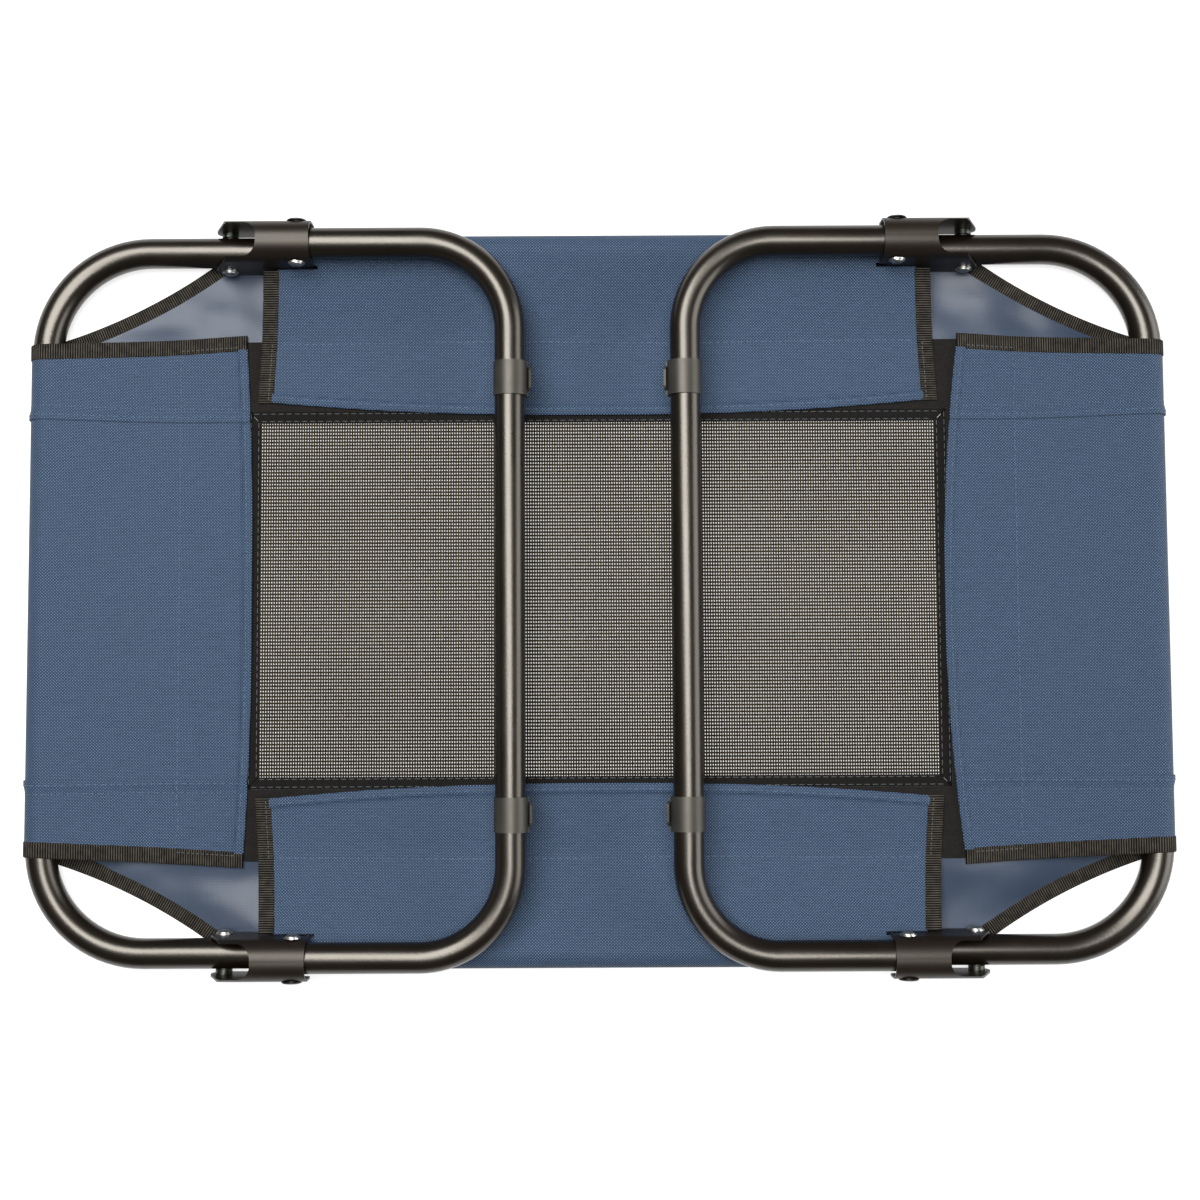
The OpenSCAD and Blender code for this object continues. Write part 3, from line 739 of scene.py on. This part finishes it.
def side_cover(side_y):
    """One side of the cover: its face, the turn round the rail and the flap."""
    columns = joined_steps(-1, -SLIT_SHARE, SLIT_SHARE, 1, step=COLUMN_STEP)

    def place(half):
        reach = np.interp(np.abs(columns), [0, SLIT_SHARE], [0, SLIT_X])
        beyond = (np.abs(columns) - SLIT_SHARE) / (1 - SLIT_SHARE)
        return np.sign(columns) * np.where(beyond > 0, SLIT_X + beyond * (half - SLIT_X), reach)

    def place_flap(s):
        return place(side_half(s) - RAW_EDGE)

    lift_of = partial(side_lift, side_y)
    slit = [float(SIDE.s_of(u)) for u in SLIT_U]
    rows = []
    face_start = BORDER.y - RAIL_Y - FACE_UNDER_BORDER
    for s in joined_steps(face_start, SIDE_TUCK, FACE_STOP, step=3.5 * MM):
        tuck = smoothstep(SIDE_TUCK, FACE_STOP, s)
        v = place(corner_half(RAIL_Y + s) * (1 - tuck) + SIDE_HALF * tuck)
        swell = math.sin(math.pi * min(1, max(0, -s) / CORNER_LENGTH))
        corner = smoothstep(*CORNER_COLUMNS, np.abs(columns)) * swell
        rows.append((s, v, -CORNER_RISE * corner * ripples(v * 0.5, s * 1.4, 1 + side_y)))
    turned = joined_steps(0, SIDE.top_s, SIDE.flap_s, step=1.5 * MM)
    sloped = joined_steps(SIDE.flap_s, slit[0], slit[1], float(SIDE.s_of(SIDE_FLAT)), step=3 * MM)
    for s in np.concatenate([turned, sloped[1:]]):
        v = place(side_half(s) - (RAW_EDGE if s > slit[0] + 0.1 * MM else 0))
        rows.append((s, v, lift_of(s, v)))
    rows += flap_rows(SIDE, rows[-1][0], side_hem, place_flap, lift_of)
    mid_s = np.array([(np.mean(a[0]) + np.mean(b[0])) / 2 for a, b in zip(rows[:-1], rows[1:])])
    mid_c = np.abs(columns[:-1] + columns[1:]) / 2
    in_slit = ((mid_s > slit[0]) & (mid_s < slit[1]))[:, None] & (mid_c > SLIT_SHARE)
    name = f"side_cover_{Y_NAMES[side_y]}"
    piece = cover_mesh(name, partial(side_points, side_y), rows, ~in_slit)
    finish_piece(piece, [f"side_strip_{Y_NAMES[side_y]}"])


def end_turn(start):
    """s from start round the end tube and down to the hook tape's edge."""
    turned = joined_steps(start, END.top_s, END.flap_s, step=1.5 * MM)
    sloped = joined_steps(END.flap_s, float(END.s_of(END_FLAT)), step=3.5 * MM)
    return np.concatenate([turned, sloped[1:]])


def end_cover(side_x):
    """The middle of one end of the cover, between the lapped seams."""
    columns = np.linspace(-1, 1, 71)
    under_lap = SEAM_Y + FLAP_UNDER_LAP
    lift_of = partial(end_lift, side_x)
    rows = []
    face_start = BORDER.x - END_X - FACE_UNDER_BORDER
    for s in joined_steps(face_start, END_TUCK, FACE_STOP, step=5 * MM):
        tuck = smoothstep(END_TUCK, FACE_STOP, s)
        v = columns * (BORDER.y * (1 - tuck) + under_lap * tuck)
        rows.append((s, v, np.zeros_like(v)))
    v = columns * under_lap
    rows += [(s, v, lift_of(s, v)) for s in end_turn(0)]
    rows += flap_rows(END, rows[-1][0], partial(end_hem, side_x), lambda s: v, lift_of)
    name = f"end_cover_{X_NAMES[side_x]}"
    piece = cover_mesh(name, partial(end_points, side_x), rows)
    finish_piece(piece, [f"end_panel_{X_NAMES[side_x]}"])


def end_lap(side_x, side_y):
    """The outer part of an end flap, lapped over the middle part."""
    columns = np.concatenate([[0, 0.02], np.linspace(0.05, 1, 18)])

    def place(s):
        outer = end_half(s) - RAW_EDGE
        return side_y * (SEAM_Y + columns * (outer - SEAM_Y))

    lift_of = partial(lap_lift, side_x)
    rows = [(s, place(s), lift_of(s, place(s))) for s in end_turn(FACE_STOP)]
    rows += flap_rows(END, rows[-1][0], partial(end_hem, side_x), place, lift_of)
    name = f"end_lap_{X_NAMES[side_x]}_{Y_NAMES[side_y]}"
    piece = cover_mesh(name, partial(end_points, side_x), rows)
    finish_piece(piece)


# ---- bindings and tapes ----

EDGE_ROUNDING = 0.8 * MM
END_ROUNDING = 0.6 * MM


def rounded(inset, rounding):
    """0 at an edge, rising in a quarter circle to 1 at the rounding's width from it."""
    return np.sqrt(1 - (1 - np.clip(inset / rounding, 0, 1)) ** 2)


def tape_profile(share, width, thick):
    """Height across a tape, rounded down at both edges."""
    edge = np.minimum(share, 1 - share) * width
    return thick * (0.35 + 0.65 * rounded(edge, EDGE_ROUNDING))


def rib(along):
    """Height of the ribs along a tape."""
    return 0.22 * MM * np.abs(np.sin(along * math.pi / RIB_PITCH)) ** 0.8


ACROSS = np.array([0, 0.03, 0.08, 0.2, 0.35, 0.5, 0.65, 0.8, 0.92, 0.97, 1])


def ribbed_strip(name, points_of, along, width, thick, sink=0.0, key="binding"):
    """A tape along a path. points_of(along, across, lift) gives its points, across from 0 to 1."""
    a, b = np.meshgrid(along, ACROSS, indexing="ij")
    end = np.minimum(a - along[0], along[-1] - a)
    round_end = rounded(end, END_ROUNDING) * 0.6 + 0.4
    height = (tape_profile(b, width, thick) + rib(a)) * round_end
    under = points_of(a, b, np.full_like(a, -sink))
    over = points_of(a, b, height)
    return slab(name, under, over, np.stack([a, b * width], -1), [key])


RIB_STEP = RIB_PITCH / 5
BINDING_T = 0.85 * MM
BINDING_SINK = 0.1 * MM
PRESS_START = 7 * MM                            # short of a tube's axis, where a binding thins out
PRESS_STOP = 3 * MM
PRESSED_T = 0.5 * MM


def binding(edge, side_x, side_y, points_of, start, stop, sink=0.0):
    """A binding sewn over one edge of the cover."""
    name = f"{edge}_binding_{X_NAMES[side_x]}_{Y_NAMES[side_y]}"
    along = np.arange(start, stop, RIB_STEP)
    piece = ribbed_strip(name, points_of, along, BINDING_W, BINDING_T, sink)
    finish_piece(piece, [name])


def corner_binding(side_x, side_y):
    """The bound edge of one hollow-cut corner, pressed flat where it goes under the tubes."""
    start, stop = (CUT_A - CUT_CENTRE), (CUT_B - CUT_CENTRE)
    angles = [math.atan2(p[1], p[0]) for p in (start, stop)]
    if angles[1] < angles[0]:
        angles.reverse()
    spread = angles[1] - angles[0]
    margin = 0.5 * BINDING_W / CUT_R

    def points_of(along, across, lift):
        turn = angles[0] - margin + along / CUT_R
        radius = CUT_R + across * BINDING_W
        x = CUT_CENTRE[0] + radius * np.cos(turn)
        y = CUT_CENTRE[1] + radius * np.sin(turn)
        x, y = np.minimum(x, END_X), np.minimum(y, RAIL_Y)
        pressed = np.maximum(smoothstep(END_X - PRESS_START, END_X - PRESS_STOP, x),
                             smoothstep(RAIL_Y - PRESS_START, RAIL_Y - PRESS_STOP, y))
        z = np.maximum(lift * (1 - pressed) + PRESSED_T * pressed * (lift > 0), 0)
        return np.stack([side_x * x, side_y * y, z], -1)

    binding("corner", side_x, side_y, points_of, 0, (spread + 2 * margin) * CUT_R)


def end_binding(side_x, side_y):
    """The bound edge of one end flap, from under the tube to the hem."""
    def points_of(along, across, lift):
        v = side_y * (end_half(along) - (1 - across) * BINDING_W)
        return end_points(side_x, along, v, end_lift(side_x, along, v) + lift)

    hem = float(END.s_of(end_hem(side_x, side_y * END_HALF))) + 0.8 * MM
    binding("end", side_x, side_y, points_of, 0, hem, BINDING_SINK)


def side_binding(side_x, side_y):
    """The bound end of one side flap, from the bracket's ear to the hem."""
    def points_of(along, across, lift):
        v = side_x * (side_half(along) - (1 - across) * BINDING_W)
        return side_points(side_y, along, v, side_lift(side_y, along, v) + lift)

    start = float(SIDE.s_of(SLIT_U[1])) + 0.3 * MM
    hem = float(SIDE.s_of(side_hem(SIDE_HALF))) + 1.2 * MM
    binding("side", side_x, side_y, points_of, start, hem, BINDING_SINK)


PILE_H = 0.25 * MM


def pile(a, b):
    """Height of the matted pile over a tape."""
    return PILE_H * (0.5 + 0.25 * np.sin(a / (0.9 * MM) + 3 * np.sin(b / (2.3 * MM)))
                     + 0.25 * np.sin(b / (0.8 * MM) + 2 * np.sin(a / (3.1 * MM))))


TAPE_GAP = 0.02 * MM                            # between the loop pile and the hooks
TAPE_STEP = 2 * MM
TAPE_STEP_ALONG = 2.1 * MM
SIDE_HOOK_SHORT = 17 * MM                       # how far the hook tape stops short of the hem
END_HOOK_SHORT = 15 * MM


def flat_tape(kind, side, along, across, point, low, high):
    """A straight loop or hook tape lying on the cover, from low to high, with its pile on top."""
    a, b = np.meshgrid(along, across, indexing="ij")
    under = point(a, b, np.full_like(a, low))
    over = point(a, b, high - pile(a, b))
    piece = slab(f"{kind}_strip_{side}", under, over, np.stack([a, b], -1), [kind])
    finish_piece(piece, [f"{kind}_tape_{side}"])


def tapes():
    """Loop tape on the cover and hook tape under each flap."""
    near = SIDE_FLAT + TAPE_INSET
    along = joined_steps(-BORDER.x, BORDER.x, step=TAPE_STEP_ALONG)
    across = joined_steps(near, RAIL_Y - BORDER.y, step=TAPE_STEP)
    hook_along = np.arange(SIDE_TAPE_LO.x, SIDE_TAPE_HI.x, TAPE_STEP_ALONG)
    hook_across = np.arange(near, SIDE_HEM - TAPE_INSET - SIDE_HOOK_SHORT, TAPE_STEP)
    for side_y in (FRONT, BACK):
        side, point = Y_NAMES[side_y], partial(beside_rail, side_y)
        flat_tape("loop", side, along, across, point, CLOTH_T, LOOP_Z)
        flat_tape("hook", side, hook_along, hook_across, point, LOOP_Z + TAPE_GAP, FLAP_Z)
    side_edge = RAIL_Y - near
    near = END_FLAT + TAPE_INSET
    along = joined_steps(-side_edge, side_edge, step=TAPE_STEP_ALONG)
    across = joined_steps(near, END_X - BORDER.x, step=TAPE_STEP)
    hook_along = joined_steps(END_TAPE_LO.y, END_TAPE_HI.y, step=TAPE_STEP_ALONG)
    hook_across = np.arange(near, END_HEM - TAPE_INSET - END_HOOK_SHORT, TAPE_STEP)
    for side_x in (LEFT, RIGHT):
        side, point = X_NAMES[side_x], partial(beside_end, side_x)
        flat_tape("loop", side, along, across, point, CLOTH_T, LOOP_Z)
        flat_tape("hook", side, hook_along, hook_across, point, LOOP_Z + TAPE_GAP, FLAP_Z)


BORDER_W = BORDER.x - WINDOW.x
BORDER_T = 0.8 * MM


def border_points(sign, across_x, along, across, lift):
    """Points of the border's strip on one side of the window; across_x where it runs along Y."""
    half, reach = (BORDER.x, BORDER.y) if across_x else (BORDER.y, BORDER.x)
    inset = (1 - across) * BORDER_W
    v = (along - reach) * (reach - inset) / reach
    out = sign * (half - inset)
    z = np.maximum(lift, 0)
    return np.stack([out, v, z] if across_x else [v, out, z], -1)


def window_border():
    """The tape sewn round the mesh window, one mitred strip on each side."""
    for names, across_x, reach in ((X_NAMES, True, BORDER.y), (Y_NAMES, False, BORDER.x)):
        along = np.arange(0, 2 * reach + 0.1 * MM, RIB_STEP * 2)
        for sign, side in names.items():
            points_of = partial(border_points, sign, across_x)
            name = f"window_tape_{side}"
            piece = ribbed_strip(name, points_of, along, BORDER_W, BORDER_T, key="border")
            finish_piece(piece, ["mesh_border"] if side == "right" else ())


# ---- mesh window ----

MESH_PITCH = (1.63 * MM, 2.18 * MM)
HOLE = (0.6 * MM, 0.94 * MM)
YARN_T = 0.3 * MM
MESH_UNDER_BORDER = 2 * MM


def yarn_places(half, pitch):
    """Places of the yarns from -half to half."""
    count = round(2 * half / pitch)
    return (np.arange(count) - (count - 1) / 2) * pitch


def mesh_window():
    """The window's weave: straight yarns along Y, with yarns along X passing over and under."""
    half_x, half_y = WINDOW.x + MESH_UNDER_BORDER, WINDOW.y + MESH_UNDER_BORDER
    xs, ys = yarn_places(half_x, MESH_PITCH[0]), yarn_places(half_y, MESH_PITCH[1])
    wide_x, wide_y = ((pitch - hole) / 2 for pitch, hole in zip(MESH_PITCH, HOLE))
    points, faces = [], []
    mid, thick = CLOTH_T / 2, YARN_T / 2
    over = (CLOTH_T - YARN_T) / 2
    for x in xs:
        profile = [
            (x - wide_x, mid), (x - wide_x / 2, mid - thick), (x + wide_x / 2, mid - thick),
            (x + wide_x, mid), (x + wide_x / 2, mid + thick), (x - wide_x / 2, mid + thick),
        ]
        add_tube(points, faces, [[(px, y, pz) for px, pz in profile] for y in (-half_y, half_y)])
    for j, y in enumerate(ys):
        rings = []
        for i, x in enumerate([-half_x, *xs, half_x]):
            z = mid + (over if (i + j) % 2 else -over)
            rings.append([(x, y - wide_y, z - thick), (x, y + wide_y, z - thick), (x, y, z + thick)])
        add_tube(points, faces, rings)
    piece = link_mesh("mesh_window", points, faces, ["mesh"])
    turn_outwards(piece)
    finish_piece(piece, ["mesh_panel"])


# ---- stitching ----

HEM_STITCH = 3.2 * MM                           # from a hem to its row of stitches
SIDE_HOOK_STITCH = 2.5 * MM                     # and from a hook tape's edge to its row
END_HOOK_STITCH = 4 * MM
SEAM_STITCHES = (3 * MM, 8.5 * MM)
BORDER_STITCHES = (1.3 * MM, 6.2 * MM)
BORDER_TOP = 1.05 * MM
BINDING_PROUD = 0.35 * MM
SINK = 0.08 * MM
# Length, radius and pitch of the stitches in the cloth, the bindings and the border
CLOTH_STITCH = (3.7 * MM, 0.27 * MM, 4.9 * MM)
BINDING_STITCH = (2.3 * MM, 0.27 * MM, 3.1 * MM)
BORDER_STITCH = (3.8 * MM, 0.22 * MM, 5.2 * MM)
# One stitch: places along it, their height in radii and their thickness
STITCH_PLACES = np.array([0, 0.12, 0.5, 0.88, 1])
STITCH_BOW = np.array([-1.2, 0.25, 0.75, 0.25, -1.2])
STITCH_SIZE = np.array([0.5, 0.95, 1, 0.95, 0.5])


def stitch_row(path, up, stitch=CLOTH_STITCH):
    """Stitches along a path of points: each is a short thread that dips in at both ends."""
    length, radius, pitch = stitch
    steps = np.linalg.norm(np.diff(path, axis=0), axis=1)
    along = np.concatenate([[0], np.cumsum(steps)])
    turn = np.arange(6) * math.pi / 3
    made = []
    for start in np.arange(pitch * 0.3, along[-1] - length, pitch):
        t = start + length * STITCH_PLACES
        centre = np.stack([np.interp(t, along, path[:, k]) for k in range(3)], 1)
        normal = np.stack([np.interp(t, along, up[:, k]) for k in range(3)], 1)
        normal /= np.linalg.norm(normal, axis=1, keepdims=True)
        tangent = centre[-1] - centre[0]
        tangent /= np.linalg.norm(tangent)
        side = np.cross(tangent, normal)
        bow = STITCH_BOW[:, None] * radius - SINK
        size = STITCH_SIZE * radius
        ring = (normal[:, None] * np.sin(turn)[None, :, None]
                + side[:, None] * np.cos(turn)[None, :, None])
        made.append((centre + normal * bow)[:, None] + ring * size[:, None, None])
    return made


def stitching(name, rows, key):
    """One piece from all the stitches in the rows."""
    points, faces = [], []
    for stitch in (stitch for row in rows for stitch in row):
        add_tube(points, faces, stitch)
    piece = link_mesh(name, points, faces, [key])
    turn_outwards(piece)
    finish_piece(piece)


def cloth_row(points_of, s, v, lift, stitch=CLOTH_STITCH):
    """Stitches on the cloth's outer face."""
    path = points_of(s, v, lift + CLOTH_T)
    return stitch_row(path, path - points_of(s, v, lift + CLOTH_T - 1 * MM), stitch)


def side_stitches(side_y):
    """Rows along a side flap's hook tape and hem."""
    v = np.linspace(-SIDE_HALF - 2 * MM, SIDE_HALF + 2 * MM, 240)
    v = v[np.abs(v) < SIDE_HALF - BINDING_W + 4 * MM]
    wander = 0.5 * MM * np.sin(v / (37 * MM))
    hook = float(SIDE.s_of(SIDE_FLAT + SIDE_HOOK_STITCH)) + wander
    rows = []
    for s, rise in ((hook, 0), (SIDE.s_of(side_hem(v)) - HEM_STITCH, HEM_RISE)):
        lift = side_lift(side_y, s, v) + rise
        rows.append(cloth_row(partial(side_points, side_y), s, v, lift))
    stitching(f"flap_stitches_{Y_NAMES[side_y]}", rows, "blue_thread")


def end_stitches(side_x):
    """Rows along an end flap's hook tape, its hem and its lapped seams."""
    reach = END_HALF - BINDING_W + 6 * MM
    v = np.linspace(-reach, reach, 200)
    wander = 0.9 * MM * smoothstep(reach - 60 * MM, reach, np.abs(v)) * np.sin(v / (6 * MM))
    hook = float(END.s_of(END_FLAT + END_HOOK_STITCH)) + wander
    points_of = partial(end_points, side_x)
    rows = []
    for s, rise in ((hook, 0), (END.s_of(end_hem(side_x, v)) - HEM_STITCH, HEM_RISE)):
        on_lap = np.abs(v) > SEAM_Y
        lift = rise + np.where(on_lap, lap_lift(side_x, s, v), end_lift(side_x, s, v))
        rows.append(cloth_row(points_of, s, v, lift))
    for side_y in (FRONT, BACK):
        hem = float(END.s_of(end_hem(side_x, side_y * SEAM_Y)))
        s = np.linspace(3 * MM, hem - 2 * MM, 120)
        for from_seam in SEAM_STITCHES:
            v = np.full_like(s, side_y * (SEAM_Y + from_seam))
            rows.append(cloth_row(points_of, s, v, lap_lift(side_x, s, v)))
    stitching(f"flap_stitches_{X_NAMES[side_x]}", rows, "blue_thread")


def binding_stitches():
    """Pale rows on the bindings, from the hook tape's field to the hem."""
    rows = []
    for side_x, side_y in CORNERS:
        hem = float(SIDE.s_of(side_hem(SIDE_HALF)))
        s = np.linspace(float(SIDE.s_of(SIDE_FLAT + 2 * MM)), hem, 40)
        v = side_x * (side_half(s) - BINDING_W * 0.68)
        lift = side_lift(side_y, s, v) + BINDING_PROUD
        rows.append(cloth_row(partial(side_points, side_y), s, v, lift, BINDING_STITCH))
        hem = float(END.s_of(end_hem(side_x, side_y * END_HALF)))
        s = np.linspace(float(END.s_of(END_FLAT + 3 * MM)), hem - 3 * MM, 40)
        v = side_y * (end_half(s) - BINDING_W * 0.75)
        lift = end_lift(side_x, s, v) + BINDING_PROUD
        rows.append(cloth_row(partial(end_points, side_x), s, v, lift, BINDING_STITCH))
    stitching("binding_stitches", rows, "pale_thread")


def border_stitches():
    """Two pale rows on each strip of the window's border."""
    rows = []
    up = np.array([[0, 0, 1.0]] * 2)
    for inset in BORDER_STITCHES:
        x, y = BORDER.x - inset, BORDER.y - inset
        for sign in (-1, 1):
            for a, b in (((-x, sign * y), (x, sign * y)), ((sign * x, -y), (sign * x, y))):
                path = np.array([(*a, BORDER_TOP), (*b, BORDER_TOP)])
                rows.append(stitch_row(path, up, BORDER_STITCH))
    stitching("border_stitches", rows, "pale_thread")


# ---- metal and plastic parts ----

# Start of the parts' names, material and width of the softened edges
CAD_LOOKS = (
    ("frame_tube", "tube", 0), ("leg_tube", "tube", 0), ("rail_connector", "steel", 0),
    ("hinge_bracket", "bracket", 0.35 * MM), ("pivot_rivet", "rivet", 0.12 * MM),
    ("leg_rivet", "rivet", 0.12 * MM), ("pivot_washers", "steel", 0.1 * MM),
    ("leg_washers", "steel", 0.1 * MM), ("foot_clip", "foot", 0.25 * MM),
)


def dress_cad_nodes():
    """Materials and softened edges for the metal and plastic parts."""
    for name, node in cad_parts.items():
        for prefix, key, bevel in CAD_LOOKS:
            if not name.startswith(prefix):
                continue
            node.data.materials.clear()
            node.data.materials.append(MATERIALS[key])
            if bevel:
                soft = node.modifiers.new("soft_edges", "BEVEL")
                soft.width = bevel
                soft.segments = 2
                soft.limit_method = "ANGLE"
                soft.angle_limit = math.radians(40)


# ---- studio ----

FLOOR_REACH = 20.0
FLOOR_Z = -0.9 * MM
WORLD_STRENGTH = 0.1
# Name, place, size and power of each softbox; both face the middle of the bed
LIGHTS = (
    ("key_softbox", (-0.34, 0.36, 1.95), (1.0, 2.1), 106),
    ("side_softbox", (2.2, 0.1, 0.75), (2.4, 1.5), 52),
)


def studio_paper():
    """White paper that glows a little, so that it stays white in the cot's shade."""
    s = Shader("studio_paper")
    s.set(
        Base_Color=s.ramp(s.noise(3, 2), [(0, (0.28, 0.28, 0.28)), (1, (0.32, 0.32, 0.32))]),
        Roughness=0.9,
        Specular_IOR_Level=0.1,
        Emission_Color=(1, 1, 1, 1),
        Emission_Strength=0.7,
    )
    return s.material


def studio_floor():
    """The paper sheet under the cot."""
    mesh = bpy.data.meshes.new("studio_floor")
    corners = [(-1, -1), (1, -1), (1, 1), (-1, 1)]
    mesh.from_pydata(
        [(x * FLOOR_REACH, y * FLOOR_REACH, FLOOR_Z) for x, y in corners], [], [(0, 1, 2, 3)]
    )
    mesh.materials.append(studio_paper())
    add_object("studio_floor", mesh)


def studio_lights():
    """A dim white room with a large softbox overhead and another from the right."""
    world = bpy.data.worlds.new("studio_world")
    world.use_nodes = True
    background = world.node_tree.nodes["Background"]
    background.inputs["Color"].default_value = (1, 1, 1, 1)
    background.inputs["Strength"].default_value = WORLD_STRENGTH
    bpy.context.scene.world = world
    for name, place, size, power in LIGHTS:
        lamp = bpy.data.lights.new(name, "AREA")
        lamp.shape = "RECTANGLE"
        lamp.size, lamp.size_y = size
        lamp.energy = power
        holder = add_object(name, lamp)
        holder.location = place
        holder.rotation_euler = (-Vector(place)).to_track_quat("-Z", "Y").to_euler()


CAMERA_PLACE = (0.00096, -0.0665, 1.0527)
CAMERA_TILT = 0.0618                            # radians, as is the roll
CAMERA_ROLL = -0.005
FOCAL_LENGTH = 49.37
SENSOR_WIDTH = 36


def camera():
    """Nearly straight above, as close as the picture was taken."""
    lens = bpy.data.cameras.new("camera")
    lens.lens = FOCAL_LENGTH
    lens.sensor_width = SENSOR_WIDTH
    holder = add_object("camera", lens)
    turn = Matrix.Rotation(CAMERA_TILT, 4, "X") @ Matrix.Rotation(CAMERA_ROLL, 4, "Z")
    holder.matrix_world = Matrix.Translation(CAMERA_PLACE) @ turn
    bpy.context.scene.camera = holder


# ---- the cloth's sheets ----


def declare_sheets():
    """Works out the cut sizes of the side and end sheets; nothing is done with them."""
    side_flat = (END_X * 2, RAIL_Y - BORDER.y + float(SIDE.s_of(SIDE_HEM)))
    end_flat = (2 * SEAM_Y, END_X - BORDER.x + float(END.s_of(END_HEM)))
    for side_x, side_y in CORNERS:
        float(END.s_of(END_HEM))


# ---- the scene ----

for side_y in (FRONT, BACK):
    side_cover(side_y)
for side_x in (LEFT, RIGHT):
    end_cover(side_x)
for side_x, side_y in CORNERS:
    end_lap(side_x, side_y)
    corner_binding(side_x, side_y)
    end_binding(side_x, side_y)
    side_binding(side_x, side_y)
tapes()
window_border()
mesh_window()
for side_y in (FRONT, BACK):
    side_stitches(side_y)
for side_x in (LEFT, RIGHT):
    end_stitches(side_x)
binding_stitches()
border_stitches()
dress_cad_nodes()
declare_sheets()
studio_floor()
studio_lights()
camera()
bpy.context.scene.view_settings.view_transform = "Standard"
